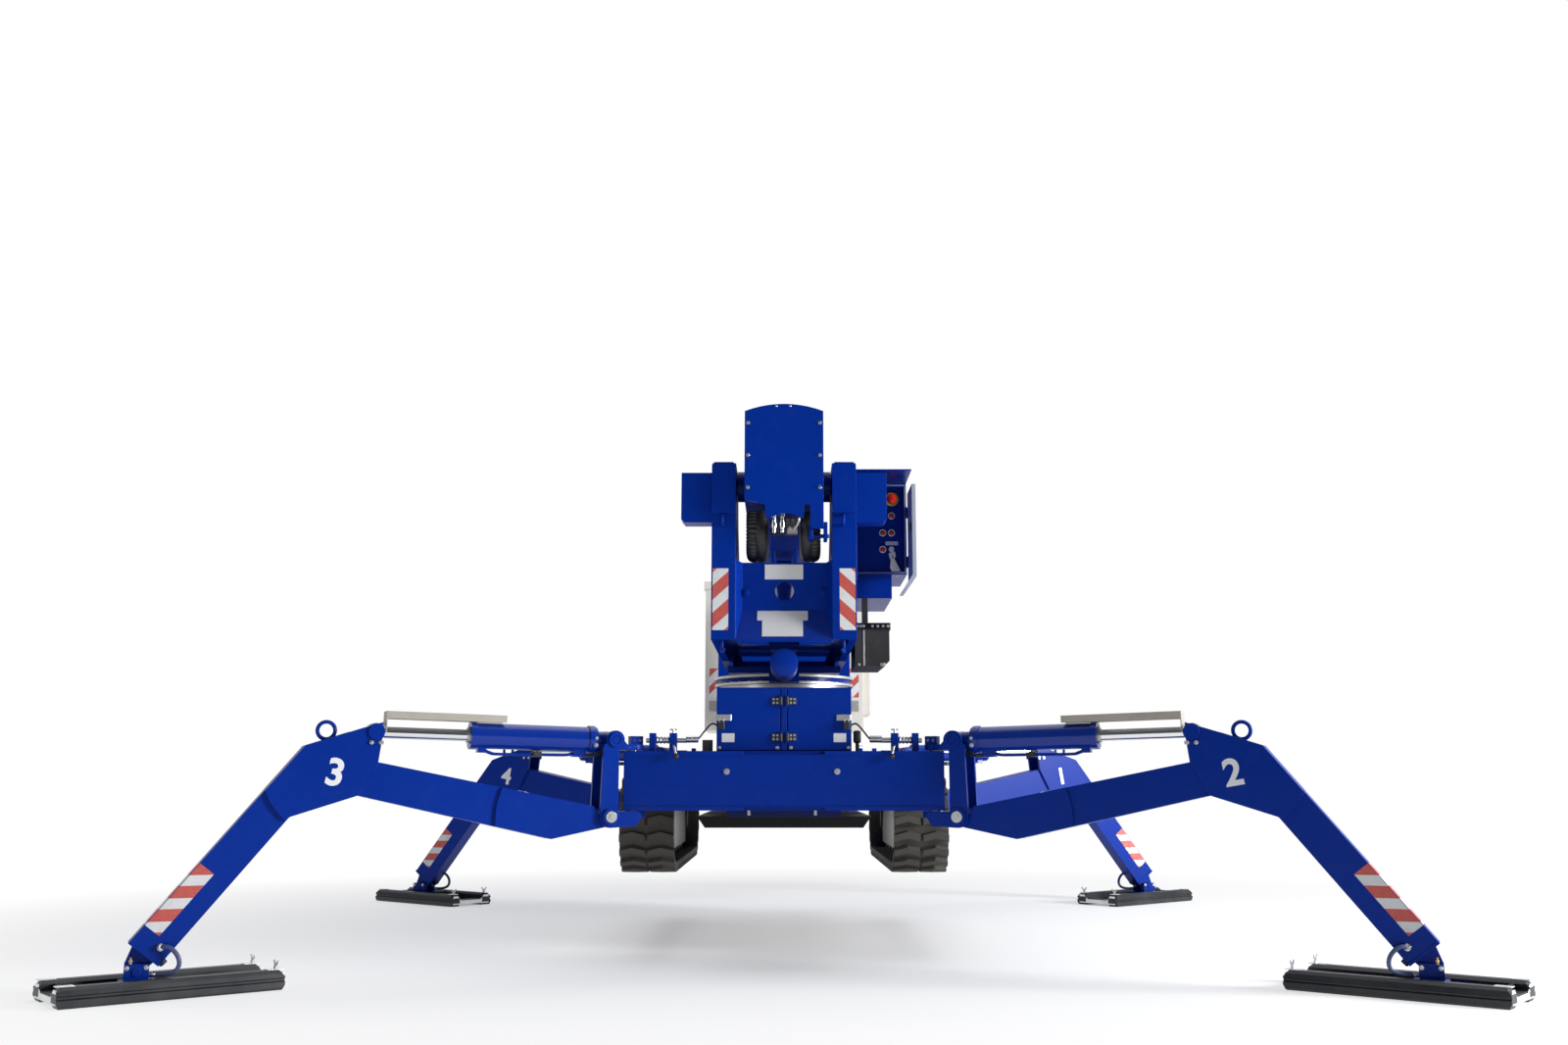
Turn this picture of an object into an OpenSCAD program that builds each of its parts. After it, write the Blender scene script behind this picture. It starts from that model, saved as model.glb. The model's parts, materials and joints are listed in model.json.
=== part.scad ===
// Tracked spider boom lift, standing on its four outrigger legs.
// Frame: millimetres, +Z up, +Y towards the basket, +X to the right seen from the rear.
// Chassis pieces are drawn about the middle of the four swing axes, then moved by chassis_y.

/* [Stance] */
// Half the distance between the left and right swing axes
swing_x = 660; // [640:5:720]
// Half the distance between the rear and front swing axes
swing_y = 1470; // [1440:10:1560]
// Angle of a leg from the crossbeam's direction
leg_angle = 23.3; // [15:0.1:35]
// Distance from a swing axis to its foot pin
foot_reach = 1925; // [1800:5:2100]
// Height of the shin's middle line over the foot
foot_pin_z = 118; // [110:1:130]
// Height of the foot pin above the floor
ankle_z = 96; // [90:1:102]

/* [Leg] */
// Distance of the leg's lift pivot from the swing axis
pivot_u = 114; // [110:1:125]
// Height of the leg's lift pivot
pivot_z = 644; // [630:1:650]
// Radius of the leg's boss round its lift pin
root_boss_r = 38; // [36:0.5:39]
// Height of the knee's inner top corner above the lift pivot
knee_rise = 383; // [360:1:400]
// Distance of the rod pin back from the foot
rod_pin_back = 835; // [815:1:855]
// Height of the rod pin
rod_pin_z = 988; // [975:1:1000]
// Distance of the cylinder's base pin from the swing axis
base_pin_u = 97; // [92:1:102]
// Height of the cylinder's base pin
base_pin_z = 966; // [960:1:975]
// Slope of the shin below the horizontal
shin_angle = 51.2; // [48:0.1:56]
// Depth of the shin's box section
shin_depth = 140; // [120:1:150]
// Width of the arm's box section
arm_w = 100; // [90:1:104]
// Thickness of the root cheek plates
root_plate = 12; // [8:1:14]
// Thickness of the knee cheek plates
knee_plate = 15; // [10:1:20]
// Inner radius of the lifting eye
eye_bore_r = 26.5; // [22:0.5:30]

/* [Leg cylinder] */
// Radius of the cylinder barrel
barrel_r = 53; // [45:1:56]
// Length of rod outside the barrel at rest
rod_show = 385; // [370:1:400]
// Length of rod inside the barrel at rest
rod_in = 263; // [255:1:266]
// Radius of the cylinder rod
rod_r = 24; // [20:1:28]

/* [Pad] */
// Length of a ground pad
pad_len = 820; // [760:10:900]
// Width of a ground pad
pad_w = 320; // [280:5:340]
// Width of one side rail
rail_w = 70; // [60:1:80]
// Height of the side rails
rail_h = 74; // [64:1:80]
// Turn of the pad from its leg
pad_turn = 16.7; // [0:0.1:25]
// Distance of the pad's middle inwards from the foot
pad_shift = 110; // [80:5:130]

/* [Chassis] */
// Half length of the crossbeams
beam_half = 686; // [680:1:700]
// Depth of the crossbeams
beam_d = 150; // [140:1:150]
// Underside height of the crossbeams
beam_z0 = 669; // [665:1:680]
// Top height of the crossbeams
beam_z1 = 920; // [915:1:922]
// Radius of the swing pins
swing_pin_r = 30; // [26:1:34]
// Width of the central frame
frame_w = 500; // [460:10:520]
// Width of the deck on the central frame
deck_w = 780; // [720:10:820]

/* [Tracks] */
// Distance of each track's middle from the centre line
track_x = 632; // [620:1:645]
// Width of the rubber track
track_w = 250; // [230:5:260]
// Half the overall length of a track
track_half = 1050; // [1000:10:1080]
// Outer radius of the track at its ends, lugs included
track_r = 230; // [215:1:240]
// Height of the track's underside above the floor
track_z = 372; // [360:1:390]
// Height of the lugs
lug_h = 22; // [14:1:28]
// Thickness of the rubber belt
belt_t = 24; // [18:1:30]
// Number of lug rows on a track
lug_count = 66; // [60:1:70]

/* [Turret] */
// Distance of the slewing axis behind the chassis middle
slew_back = 550; // [500:10:600]
// Height of the pedestal's top
pedestal_z = 1200; // [1180:5:1220]
// Outer radius of the slewing ring
ring_r = 350; // [320:5:370]
// Half width over the turret's posts
post_out = 322; // [310:1:326]
// Half width between the turret's posts
post_in = 215; // [212:1:222]
// Height of the posts' top
post_top = 2210; // [2180:5:2260]
// Distance of the boom pivot behind the slewing axis
boom_pivot_back = 720; // [700:5:740]
// Height of the boom pivot
boom_pivot_z = 2128; // [2110:1:2140]

/* [Boom] */
// Width of the boom's base section
boom_w = 350; // [340:2:356]
// Height of the boom's base section
boom_h = 430; // [420:2:440]
// Height of the boom's underside at rest
boom_z = 2020; // [2015:1:2030]
// Rise of the boom's arched top
arch_rise = 33; // [20:1:40]
// Wall of the boom's sections
boom_wall = 8; // [6:1:10]
// Space between two sections
boom_gap = 12; // [8:1:14]
// Length of the boom's base section ahead of the boom pivot
boom_front = 3520; // [3400:10:3600]

/* [Jib and basket] */
// Length of the jib between its pivots
jib_len = 744; // [700:1:780]
// Width of the basket
basket_w = 1200; // [1000:10:1300]
// Depth of the basket
basket_d = 700; // [650:10:800]
// Height of the basket
basket_h = 1134; // [1050:2:1180]
// Height of the basket's floor underside
basket_z = 1172; // [1150:2:1200]
// Wall of the basket
basket_wall = 24; // [16:1:30]

/* [Hidden] */
$fn = 64;
fine = 0.3;
pin_gap = 0.3;
paint = [0.02, 0.12, 0.55];
paint_dark = [0.02, 0.05, 0.25];
black = [0.07, 0.07, 0.08];
steel = [0.62, 0.64, 0.66];
chrome = [0.82, 0.83, 0.85];
rubber = [0.13, 0.13, 0.14];
cream = [0.86, 0.84, 0.78];

root_half = arm_w / 2 + root_plate;
knee_half = arm_w / 2 + knee_plate;
swing_clear = 85;
cheek_t = 18;
cheek_in = root_half + 0.5;
cheek_out = cheek_in + cheek_t;
shin_sin = sin(shin_angle);
shin_cos = cos(shin_angle);

rod_pin_u = foot_reach - rod_pin_back;
cyl_rise = rod_pin_z - base_pin_z;
cyl_run = rod_pin_u - base_pin_u;
cyl_len = sqrt(cyl_rise * cyl_rise + cyl_run * cyl_run);
cyl_tilt = atan2(cyl_rise, cyl_run);
barrel_len = cyl_len - rod_show;

ring_y = -slew_back;
boom_pivot_y = ring_y - boom_pivot_back;
boom_rear_y = boom_pivot_y - 270;
boom_front_y = boom_pivot_y + boom_front;
tail_y = boom_pivot_y - 200;

head_y = boom_front_y + 450;
head_z = boom_z + 110;
jib_top_y = head_y + 100;
jib_top_z = head_z - 90;
jib_end_y = jib_top_y + 80;
jib_end_z = jib_top_z - sqrt(jib_len * jib_len - 80 * 80);
turn_y = jib_end_y + 200;
basket_y0 = turn_y + 220;
basket_y1 = basket_y0 + basket_d;

// Corners of a pad about its foot pin, used to centre the whole machine over the origin
pad_dir = leg_angle + pad_turn;
pad_back = foot_reach * sin(leg_angle) + (pad_len / 2 - pad_shift) * sin(pad_dir) + pad_w / 2 * cos(pad_dir);
rear_reach = swing_y + pad_back;
chassis_y = -(basket_y1 - rear_reach) / 2;

module place() {
    translate([0, chassis_y, 0]) children();
}

module at_leg(side, end) {
    translate([side * swing_x, end * swing_y, 0])
        mirror([side < 0 ? 1 : 0, 0, 0])
            mirror([0, end > 0 ? 1 : 0, 0])
                rotate([0, 0, -leg_angle]) children();
}

// A box between two corners
module block(lo, hi) {
    translate(lo) cube([hi[0] - lo[0], hi[1] - lo[1], hi[2] - lo[2]]);
}

// An outline in the plane of the first axis and Z, thick from v0 to v1 along the second axis
module upright(v0, v1) {
    translate([0, v1, 0]) rotate([90, 0, 0]) linear_extrude(v1 - v0) children();
}

// An outline drawn as (y, z), thick from x0 to x1
module side_plate(x0, x1) {
    translate([x0, 0, 0]) rotate([90, 0, 90]) linear_extrude(x1 - x0) children();
}

// A round bar along the second axis
module cross_bar(u, z, r, v0, v1) {
    translate([u, v1, z]) rotate([90, 0, 0]) cylinder(r = r, h = v1 - v0);
}

// A round bar along X at a point of the (y, z) plane
module axle(y, z, r, x0, x1) {
    translate([x0, y, z]) rotate([0, 90, 0]) cylinder(r = r, h = x1 - x0);
}

// A point on the shin's outer (side 1) or inner (side -1) edge at height z
function shin_edge(z, side) =
    let (half = side * shin_depth / 2)
    [foot_reach + half * shin_sin - (z - foot_pin_z - half * shin_cos) * shin_cos / shin_sin, z];

// A point on the shin's square-cut end, at a distance in from its outer edge
function shin_end(inward) = shin_tip_out - inward * [shin_sin, shin_cos];
arm_top = [pivot_u + 65, pivot_z + 44];
knee_foot = [rod_pin_u - 12, pivot_z + 224];
knee_in_top = [rod_pin_u - 24, pivot_z + knee_rise];
knee_out_top = shin_edge(pivot_z + 288, 1);
knee_out_low = shin_edge(pivot_z + 11, -1);
knee_in_low = [rod_pin_u + 60, pivot_z + 92];
arm_low = [pivot_u + 248, pivot_z - 89];
shin_tip_out = shin_edge(foot_pin_z + 82, 1);
shin_tip_in = shin_end(shin_depth);
ankle_u = foot_reach - 12;
eye_u = knee_in_top[0] + 0.72 * (knee_out_top[0] - knee_in_top[0]);
eye_z = knee_in_top[1] + 0.72 * (knee_out_top[1] - knee_in_top[1]) + 34;

module arm_side() {
    difference() {
        union() {
            polygon([arm_top, knee_foot, [rod_pin_u + 92, knee_foot[1] + 20],
                [rod_pin_u + 104, pivot_z + knee_rise - 40], knee_out_top, shin_tip_out,
                shin_tip_in, knee_out_low, knee_in_low, arm_low, [pivot_u + 12, pivot_z - 42]]);
            translate([pivot_u, pivot_z]) circle(r = root_boss_r);
        }
        translate([pivot_u, pivot_z]) circle(r = 30 + pin_gap);
    }
}

module knee_side() {
    intersection() {
        polygon([knee_foot, knee_in_top + [0, -60], knee_in_top + [0, 0], knee_out_top,
            shin_tip_out, knee_out_low, knee_in_low]);
        union() {
            translate([rod_pin_u + 160, pivot_z + 200]) circle(r = 265);
            polygon([knee_foot, knee_in_top, knee_out_top, knee_in_low]);
        }
    }
}

module root_side() {
    difference() {
        intersection() {
            union() {
                polygon([arm_top, knee_foot, knee_in_low, arm_low, [pivot_u + 12, pivot_z - 42]]);
                translate([pivot_u, pivot_z]) circle(r = root_boss_r);
            }
            translate([pivot_u + 180, pivot_z]) circle(r = 305);
        }
        translate([pivot_u, pivot_z]) circle(r = 30 + pin_gap);
    }
}

module lifting_eye() {
    translate([eye_u, 0, eye_z]) rotate([90, 0, 0]) rotate_extrude()
        intersection() {
            translate([eye_bore_r + 7, 0]) circle(r = 8.5);
            translate([eye_bore_r, -10]) square([20, 20]);
        }
    cylinder_z = eye_z - eye_bore_r - 12;
    translate([eye_u, 0, cylinder_z - 40]) cylinder(r = 14, h = 42);
}

module leg_body() {
    upright(-arm_w / 2, arm_w / 2) arm_side();
    upright(-root_half, -arm_w / 2) root_side();
    upright(arm_w / 2, root_half) root_side();
    upright(-knee_half, -arm_w / 2) knee_side();
    upright(arm_w / 2, knee_half) knee_side();
    for (side = [-1, 1])
        cross_bar(rod_pin_u, rod_pin_z, 30, side > 0 ? knee_half : -knee_half - 6,
            side > 0 ? knee_half + 6 : -knee_half);
    lifting_eye();
    difference() {
        upright(-25, 25) union() {
            polygon([shin_end(20), [ankle_u + 43, ankle_z + 30], [ankle_u + 24, ankle_z],
                [ankle_u - 24, ankle_z], shin_end(118)]);
            translate([ankle_u, ankle_z]) circle(r = 24);
        }
        cross_bar(ankle_u, ankle_z, 15 + pin_gap, -30, 30);
    }
    for (side = [-1, 1])
        upright(side > 0 ? arm_w / 2 : -arm_w / 2 - 3, side > 0 ? arm_w / 2 + 3 : -arm_w / 2)
            polygon([shin_end(0), shin_end(shin_depth), shin_end(shin_depth) + 9 * [-shin_cos, shin_sin],
                shin_end(0) + 9 * [-shin_cos, shin_sin]]);
}

module swing_bracket() {
    difference() {
        union() {
            for (side = [-1, 1])
                upright(side > 0 ? cheek_in : -cheek_out, side > 0 ? cheek_out : -cheek_in) union() {
                    polygon([[-20, beam_z0 - 32], [0, pivot_z - 40], [pivot_u, pivot_z - 46],
                        [pivot_u + 46, pivot_z], [base_pin_u + 52, base_pin_z - 30],
                        [base_pin_u, base_pin_z + 40], [45, beam_z1 + 28]]);
                    translate([pivot_u, pivot_z]) circle(r = 46);
                    translate([base_pin_u, base_pin_z]) circle(r = 40);
                }
            translate([0, 0, beam_z1 + 4]) linear_extrude(24) {
                circle(r = 50);
                polygon([[0, -50], [45, -cheek_out], [base_pin_u + 50, -cheek_out],
                    [base_pin_u + 50, cheek_out], [45, cheek_out], [0, 50]]);
            }
            block([-44, -22, beam_z1 + 28], [10, 22, beam_z1 + 65]);
            translate([0, 0, beam_z0 - 32]) linear_extrude(28) {
                circle(r = 62);
                translate([0, -cheek_out]) square([60, 2 * cheek_out]);
            }
            block([swing_clear + 1, -cheek_in, beam_z0 + 90], [swing_clear + 13, cheek_in, beam_z1 + 10]);
        }
        translate([0, 0, beam_z0 - 4]) cylinder(r = swing_clear, h = beam_z1 - beam_z0 + 8);
        block([-100, -100, beam_z0 - 4], [beam_d / 2 + 6, 100, beam_z1 + 4]);
        translate([0, 0, beam_z0 - 60]) cylinder(r = swing_pin_r + pin_gap, h = beam_z1 - beam_z0 + 87);
        for (u = [-32, -8])
            cross_bar(u, beam_z1 + 47, 7, -23, 23);
        block([base_pin_u - 50, -45, beam_z1 - 20], [base_pin_u + 80, 45, beam_z1 + 60]);
    }
    cross_bar(pivot_u, pivot_z, 30, -cheek_out - 8, cheek_out + 8);
    cross_bar(base_pin_u, base_pin_z, 22, -cheek_out - 6, cheek_out + 6);
}

module along_cylinder() {
    translate([base_pin_u, 0, base_pin_z]) rotate([0, 90 - cyl_tilt, 0]) children();
}

module leg_cylinder() {
    difference() {
        union() {
            cross_bar(base_pin_u, base_pin_z, 38, -42, 42);
            along_cylinder() {
                translate([0, 0, 20]) cylinder(r = 36, h = 60);
                translate([0, 0, 66]) cylinder(r = barrel_r, h = barrel_len - 66);
                translate([0, 0, 76]) cylinder(r = barrel_r + 6, h = 26);
                for (side = [-1, 1])
                    block([-20, side > 0 ? 30 : -56, 64], [38, side > 0 ? 56 : -30, 94]);
                block([barrel_r - 14, -24, 112], [barrel_r + 22, 24, 168]);
                block([barrel_r - 14, -20, barrel_len - 70], [barrel_r + 16, 20, barrel_len - 34]);
                translate([0, 0, barrel_len - 26]) cylinder(r = barrel_r + 4, h = 26);
            }
        }
        cross_bar(base_pin_u, base_pin_z, 22 + pin_gap, -60, 60);
        along_cylinder() translate([0, 0, 70]) cylinder(r = rod_r + pin_gap, h = barrel_len);
    }
}

module leg_rod() {
    along_cylinder() {
        translate([0, 0, barrel_len - rod_in]) cylinder(r = rod_r, h = rod_in + rod_show - 20);
        // Guard over the rod: an inverted channel that slides over the barrel
        guard_end = cyl_len - 39;
        difference() {
            block([-barrel_r - 33, -44, barrel_len - 145], [-barrel_r - 3, 44, guard_end]);
            block([-barrel_r - 29, -40, barrel_len - 150], [-barrel_r + 10, 40, guard_end - 4]);
        }
        block([-barrel_r - 4, -44, guard_end - 4], [0, 44, guard_end]);
    }
    cross_bar(rod_pin_u, rod_pin_z, 36, -arm_w / 2 + 3, arm_w / 2 - 3);
}

// Section of a pad's side rail, grooved along its middle
module rail_shape(side) {
    polygon([[side * (pad_w / 2 - rail_w), 0], [side * (pad_w / 2 - 6), 0], [side * pad_w / 2, 8],
        [side * pad_w / 2, rail_h * 0.4], [side * (pad_w / 2 - 7), rail_h * 0.46],
        [side * (pad_w / 2 - 7), rail_h * 0.56], [side * pad_w / 2, rail_h * 0.62],
        [side * (pad_w / 2 - 6), rail_h - 12], [side * (pad_w / 2 - 18), rail_h],
        [side * (pad_w / 2 - rail_w + 12), rail_h], [side * (pad_w / 2 - rail_w), rail_h - 12]]);
}

module pad() {
    half = pad_len / 2;
    web = pad_w / 2 - rail_w;
    translate([foot_reach, 0, 0]) rotate([0, 0, -pad_turn]) translate([-pad_shift, 0, 0]) {
        for (side = [-1, 1])
            intersection() {
                translate([-half, 0, 0]) rotate([90, 0, 90]) linear_extrude(pad_len) rail_shape(side);
                upright(-pad_w, pad_w)
                    polygon([[-half + 10, 0], [half - 10, 0], [half, 20], [half, rail_h - 24],
                        [half - 20, rail_h], [-half + 20, rail_h], [-half, rail_h - 24], [-half, 20]]);
            }
        block([-half + 6, -web, 14], [half - 6, web, 26]);
        for (end = [-1, 1])
            block([end * (half - 26) - 20, -web, 26], [end * (half - 26) + 20, web, 40]);
    }
}

foot_half_v = 60;
foot_top = ankle_z + 28;

module foot_block() {
    translate([ankle_u, 0, 0]) {
        block([-62, -foot_half_v, 26], [62, foot_half_v, 62]);
        for (side = [-1, 1])
            block([-43, side > 0 ? 25.3 : -foot_half_v, 50], [44, side > 0 ? foot_half_v : -25.3, foot_top]);
    }
    cross_bar(ankle_u, ankle_z, 15, -foot_half_v - 4, foot_half_v + 4);
}

slot_half = 175;

module crossbeam(end) {
    translate([0, end * swing_y, 0]) difference() {
        block([-beam_half, -beam_d / 2, beam_z0], [beam_half, beam_d / 2, beam_z1]);
        for (side = [-1, 1])
            translate([side * swing_x, 0, beam_z0 - 1])
                cylinder(r = swing_pin_r + pin_gap, h = beam_z1 - beam_z0 + 2);
        for (z = [beam_z0 - 5, beam_z1 - 14])
            block([-slot_half, end > 0 ? 45 : -beam_d, z], [slot_half, end > 0 ? beam_d : -45, z + 19]);
        block([-beam_half - 1, end > 0 ? beam_d / 2 - 5 : -beam_d, beam_z0 + 16],
            [beam_half + 1, end > 0 ? beam_d : 5 - beam_d / 2, beam_z1 - 16]);
    }
}

frame_z0 = beam_z0 - 29;

module chassis_frame() color(paint_dark) place() {
    beam_face = swing_y - beam_d / 2;
    block([-frame_w / 2, -beam_face, frame_z0], [frame_w / 2, beam_face, beam_z1 - 20]);
    block([-deck_w / 2, -beam_face, beam_z1 - 20], [deck_w / 2, beam_face, beam_z1]);
}

module rear_crossbeam() color(paint) place() crossbeam(-1);

module front_crossbeam() color(paint) place() {
    crossbeam(1);
    block([-50, swing_y - 50, beam_z1], [50, swing_y + 50, boom_z - 50]);
    block([-110, swing_y - 60, boom_z - 50], [110, swing_y + 60, boom_z - 10]);
}

module belly_pan() color(black) place() {
    pan_half = deck_w / 2 - 5;
    pan_y = swing_y - 170;
    upright(-pan_y, pan_y)
        polygon([[-pan_half, frame_z0], [-pan_half + 35, frame_z0 - 50], [pan_half - 35, frame_z0 - 50],
            [pan_half, frame_z0]]);
}

module pedestal() color(paint) place() {
    block([-cab_w / 2, ring_y - ring_r, beam_z1], [cab_w / 2, ring_y + ring_r, pedestal_z]);
}

cab_w = 590;
cab_y0 = -1430;
cab_y1 = ring_y - ring_r;
cab_wall = 12;
cab_top = pedestal_z - 2;
door_t = 20;
door_face = cab_y0 - door_t - fine;
door_hinge_x = 14;
hinge_y = door_face - 8.5;
hinge_zs = [964, 1121];
hinge_h = 34;

module rear_cabinet() color(paint) place() {
    difference() {
        block([-cab_w / 2, cab_y0, beam_z1], [cab_w / 2, cab_y1, cab_top]);
        for (side = [-1, 1])
            block([side > 0 ? 4 : -cab_w / 2 + cab_wall, cab_y0 - 1, beam_z1 + cab_wall],
                [side > 0 ? cab_w / 2 - cab_wall : -4, cab_y1 - cab_wall, cab_top - cab_wall]);
    }
    // Middle strip between the doors, with the lugs and pins that carry the hinges
    block([-12, door_face, beam_z1 + 6], [12, cab_y0, cab_top - 6]);
    for (side = [-1, 1])
        for (z = hinge_zs) {
            translate([side * door_hinge_x, hinge_y, z - 7]) cylinder(r = 3, h = hinge_h + 14);
            for (lug = [z - 8, z + hinge_h + 3])
                block([side > 0 ? 4 : -15, hinge_y - 4, lug], [side > 0 ? 15 : -4, door_face, lug + 5]);
        }
}

module rear_door(side) {
    inner = door_hinge_x + 3;
    outer = cab_w / 2 - 2;
    block([side > 0 ? inner : -outer, door_face, beam_z1 + 6],
        [side > 0 ? outer : -inner, cab_y0 - fine, cab_top - 6]);
    for (z = hinge_zs)
        difference() {
            union() {
                translate([side * door_hinge_x, hinge_y, z]) cylinder(r = 7, h = hinge_h);
                block([side > 0 ? inner : -inner - 38, door_face - 4, z],
                    [side > 0 ? inner + 38 : -inner, door_face, z + hinge_h]);
                block([side > 0 ? inner : -inner - 4, hinge_y, z],
                    [side > 0 ? inner + 4 : -inner, door_face, z + hinge_h]);
            }
            translate([side * door_hinge_x, hinge_y, z - 1]) cylinder(r = 3 + pin_gap, h = hinge_h + 2);
        }
}

module rear_door_left() color(paint) place() rear_door(-1);

module rear_door_right() color(paint) place() rear_door(1);

hood_y0 = 590;
hood_y1 = 1380;
hood_half = 380;
hood_top = 1850;
grille_z0 = 1180;

module power_pack_hood() color(paint) place() {
    difference() {
        upright(hood_y0, hood_y1)
            polygon([[-hood_half, beam_z1], [hood_half, beam_z1], [hood_half, hood_top - 140],
                [hood_half - 100, hood_top], [-hood_half + 100, hood_top], [-hood_half, hood_top - 140]]);
        upright(hood_y0 + 15, hood_y1 - 15)
            polygon([[-hood_half + 15, beam_z1 - 1], [hood_half - 15, beam_z1 - 1],
                [hood_half - 15, hood_top - 145], [hood_half - 106, hood_top - 15],
                [-hood_half + 106, hood_top - 15], [-hood_half + 15, hood_top - 145]]);
        for (row = [0:9])
            block([-hood_half - 1, hood_y0 + 140, grille_z0 + row * 44],
                [hood_half + 1, hood_y1 - 140, grille_z0 + row * 44 + 20]);
    }
}

module engine_block() color(black) place() {
    block([-250, 720, beam_z1], [250, 1250, 1450]);
}

track_mid_z = track_z + track_r;
track_arc_y = track_half - track_r;

module loop_shape(r) {
    for (end = [-1, 1]) translate([end * track_arc_y, track_mid_z]) circle(r = r);
    translate([-track_arc_y, track_mid_z - r]) square([2 * track_arc_y, 2 * r]);
}

// Place a child, made about the origin with +Z outwards, at distance s round the belt
belt_r = track_r - lug_h;
flat_len = 2 * track_arc_y;
arc_len = PI * belt_r;
loop_len = 2 * flat_len + 2 * arc_len;

module on_belt(s) {
    if (s < flat_len)
        translate([0, s - track_arc_y, track_mid_z + belt_r]) children();
    else if (s < flat_len + arc_len)
        translate([0, track_arc_y, track_mid_z]) rotate([-(s - flat_len) / belt_r * 180 / PI, 0, 0])
            translate([0, 0, belt_r]) children();
    else if (s < 2 * flat_len + arc_len)
        translate([0, track_arc_y - (s - flat_len - arc_len), track_mid_z - belt_r])
            rotate([180, 0, 0]) children();
    else
        translate([0, -track_arc_y, track_mid_z])
            rotate([-180 - (s - 2 * flat_len - arc_len) / belt_r * 180 / PI, 0, 0])
                translate([0, 0, belt_r]) children();
}

lug_len = 32;
lug_bend = 8;
groove_half = 6;
function chevron(side, shift) = [[side * groove_half, shift - lug_bend],
    [side * (track_w / 4 + groove_half / 2), shift + lug_bend], [side * track_w / 2, shift - lug_bend]];
function reversed(list) = [for (k = [len(list) - 1:-1:0]) list[k]];

module track(side) {
    translate([side * track_x, 0, 0]) {
        side_plate(-track_w / 2, track_w / 2) difference() {
            loop_shape(belt_r);
            loop_shape(belt_r - belt_t);
        }
        for (k = [0:lug_count - 1])
            on_belt((k + 0.5) * loop_len / lug_count)
                translate([0, 0, -5]) linear_extrude(lug_h + 5)
                    for (half = [-1, 1])
                        polygon(concat(chevron(half, -lug_len / 2), reversed(chevron(half, lug_len / 2))));
    }
}

module track_left() color(rubber) place() track(-1);

module track_right() color(rubber) place() track(1);

module track_frame(side) {
    inner_r = belt_r - belt_t - fine;
    translate([side * track_x, 0, 0]) {
        block([-50, -track_arc_y + 60, track_mid_z - 60], [50, track_arc_y - 60, track_mid_z + 70]);
        for (s = [-1, 1])
            block([s > 0 ? 50 : -62, -track_arc_y + 60, track_mid_z - 150],
                [s > 0 ? 62 : -50, track_arc_y - 60, track_mid_z + 90]);
        for (k = [-3:3])
            axle(k * 200, track_mid_z - inner_r + 55, 55, -50, 50);
        for (s = [-1, 1])
            axle(s * 420, track_mid_z + inner_r - 45, 45, -50, 50);
        for (end = [-1, 1]) {
            axle(end * track_arc_y, track_mid_z, inner_r, -30, 30);
            axle(end * track_arc_y, track_mid_z, 70, -70, 70);
            for (s = [-1, 1])
                block([s > 0 ? 50 : -62, end > 0 ? track_arc_y - 70 : -track_arc_y, track_mid_z - 40],
                    [s > 0 ? 62 : -50, end > 0 ? track_arc_y : -track_arc_y + 70, track_mid_z + 40]);
        }
    }
}

module track_frame_left() color(black) place() track_frame(-1);

module track_frame_right() color(black) place() track_frame(1);

module axle_beams() color(black) place() {
    for (side = [-1, 1])
        for (end = [-1, 1])
            block([side > 0 ? frame_w / 2 : -track_x + 62, end * 450 - 70, 660],
                [side > 0 ? track_x - 62 : -frame_w / 2, end * 450 + 70, 690]);
}

module swing_pins() color(steel) place() {
    for (side = [-1, 1])
        for (end = [-1, 1])
            translate([side * swing_x, end * swing_y, 0]) {
                translate([0, 0, beam_z0 - 40]) cylinder(r = swing_pin_r, h = beam_z1 - beam_z0 + 64);
                translate([0, 0, beam_z0 - 42]) cylinder(r = swing_pin_r + 8, h = 10 - fine);
            }
}

lock_z = beam_z1 + 48;

module swing_locks() color(paint) place() {
    for (side = [-1, 1])
        for (end = [-1, 1])
            translate([side * swing_x, end * swing_y, 0]) mirror([side > 0 ? 1 : 0, 0, 0]) {
                difference() {
                    union() {
                        block([77, -22, beam_z1], [104, 22, lock_z + 30]);
                        block([164, -22, beam_z1], [195, 22, lock_z + 30]);
                    }
                    for (x = [76, 163])
                        translate([x, 0, beam_z1 + 12]) rotate([0, 90, 0]) cylinder(r = 5, h = 39);
                }
                translate([62, 0, lock_z]) rotate([0, 90, 0]) cylinder(r = 11, h = 190);
                translate([236, 0, lock_z + 4]) rotate([0, 90, 0]) cylinder(r = 14, h = 52);
            }
}

ring_split = pedestal_z + 51;
turret_z = pedestal_z + 98;
ring_body_r = ring_r - 25;
flange_t = 13;

module slewing_ring_lower() color(steel) place() translate([0, ring_y, pedestal_z]) difference() {
    union() {
        cylinder(r = ring_body_r, h = ring_split - pedestal_z);
        cylinder(r = ring_r - 12, h = 16);
    }
    translate([0, 0, -1]) cylinder(r = ring_r - 90, h = 60);
}

lift_base_y = -980;
lift_base_z = 1400;
lift_rod_y = 50;
lift_rod_z = boom_z - 90;

deck_t = 30;
tail_low = 1406;
panel_y = tail_y + 90;
panel_bend = 1546;
panel_top = 1760;
panel_t = 12;
panel_half = 188;
head_out = 24;
head_low = post_top - 240;

// Side outline of the turret's posts and side panels
module turret_side() {
    polygon([[tail_y, tail_low], [-1250, turret_z + deck_t], [ring_y + 320, turret_z + deck_t],
        [ring_y + 320, turret_z + 115], [-760, 1700], [-1060, 1960], [-1120, post_top - 70],
        [-1190, post_top - 10], [tail_y + 10, post_top - 10], [tail_y, post_top - 20]]);
}

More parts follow.
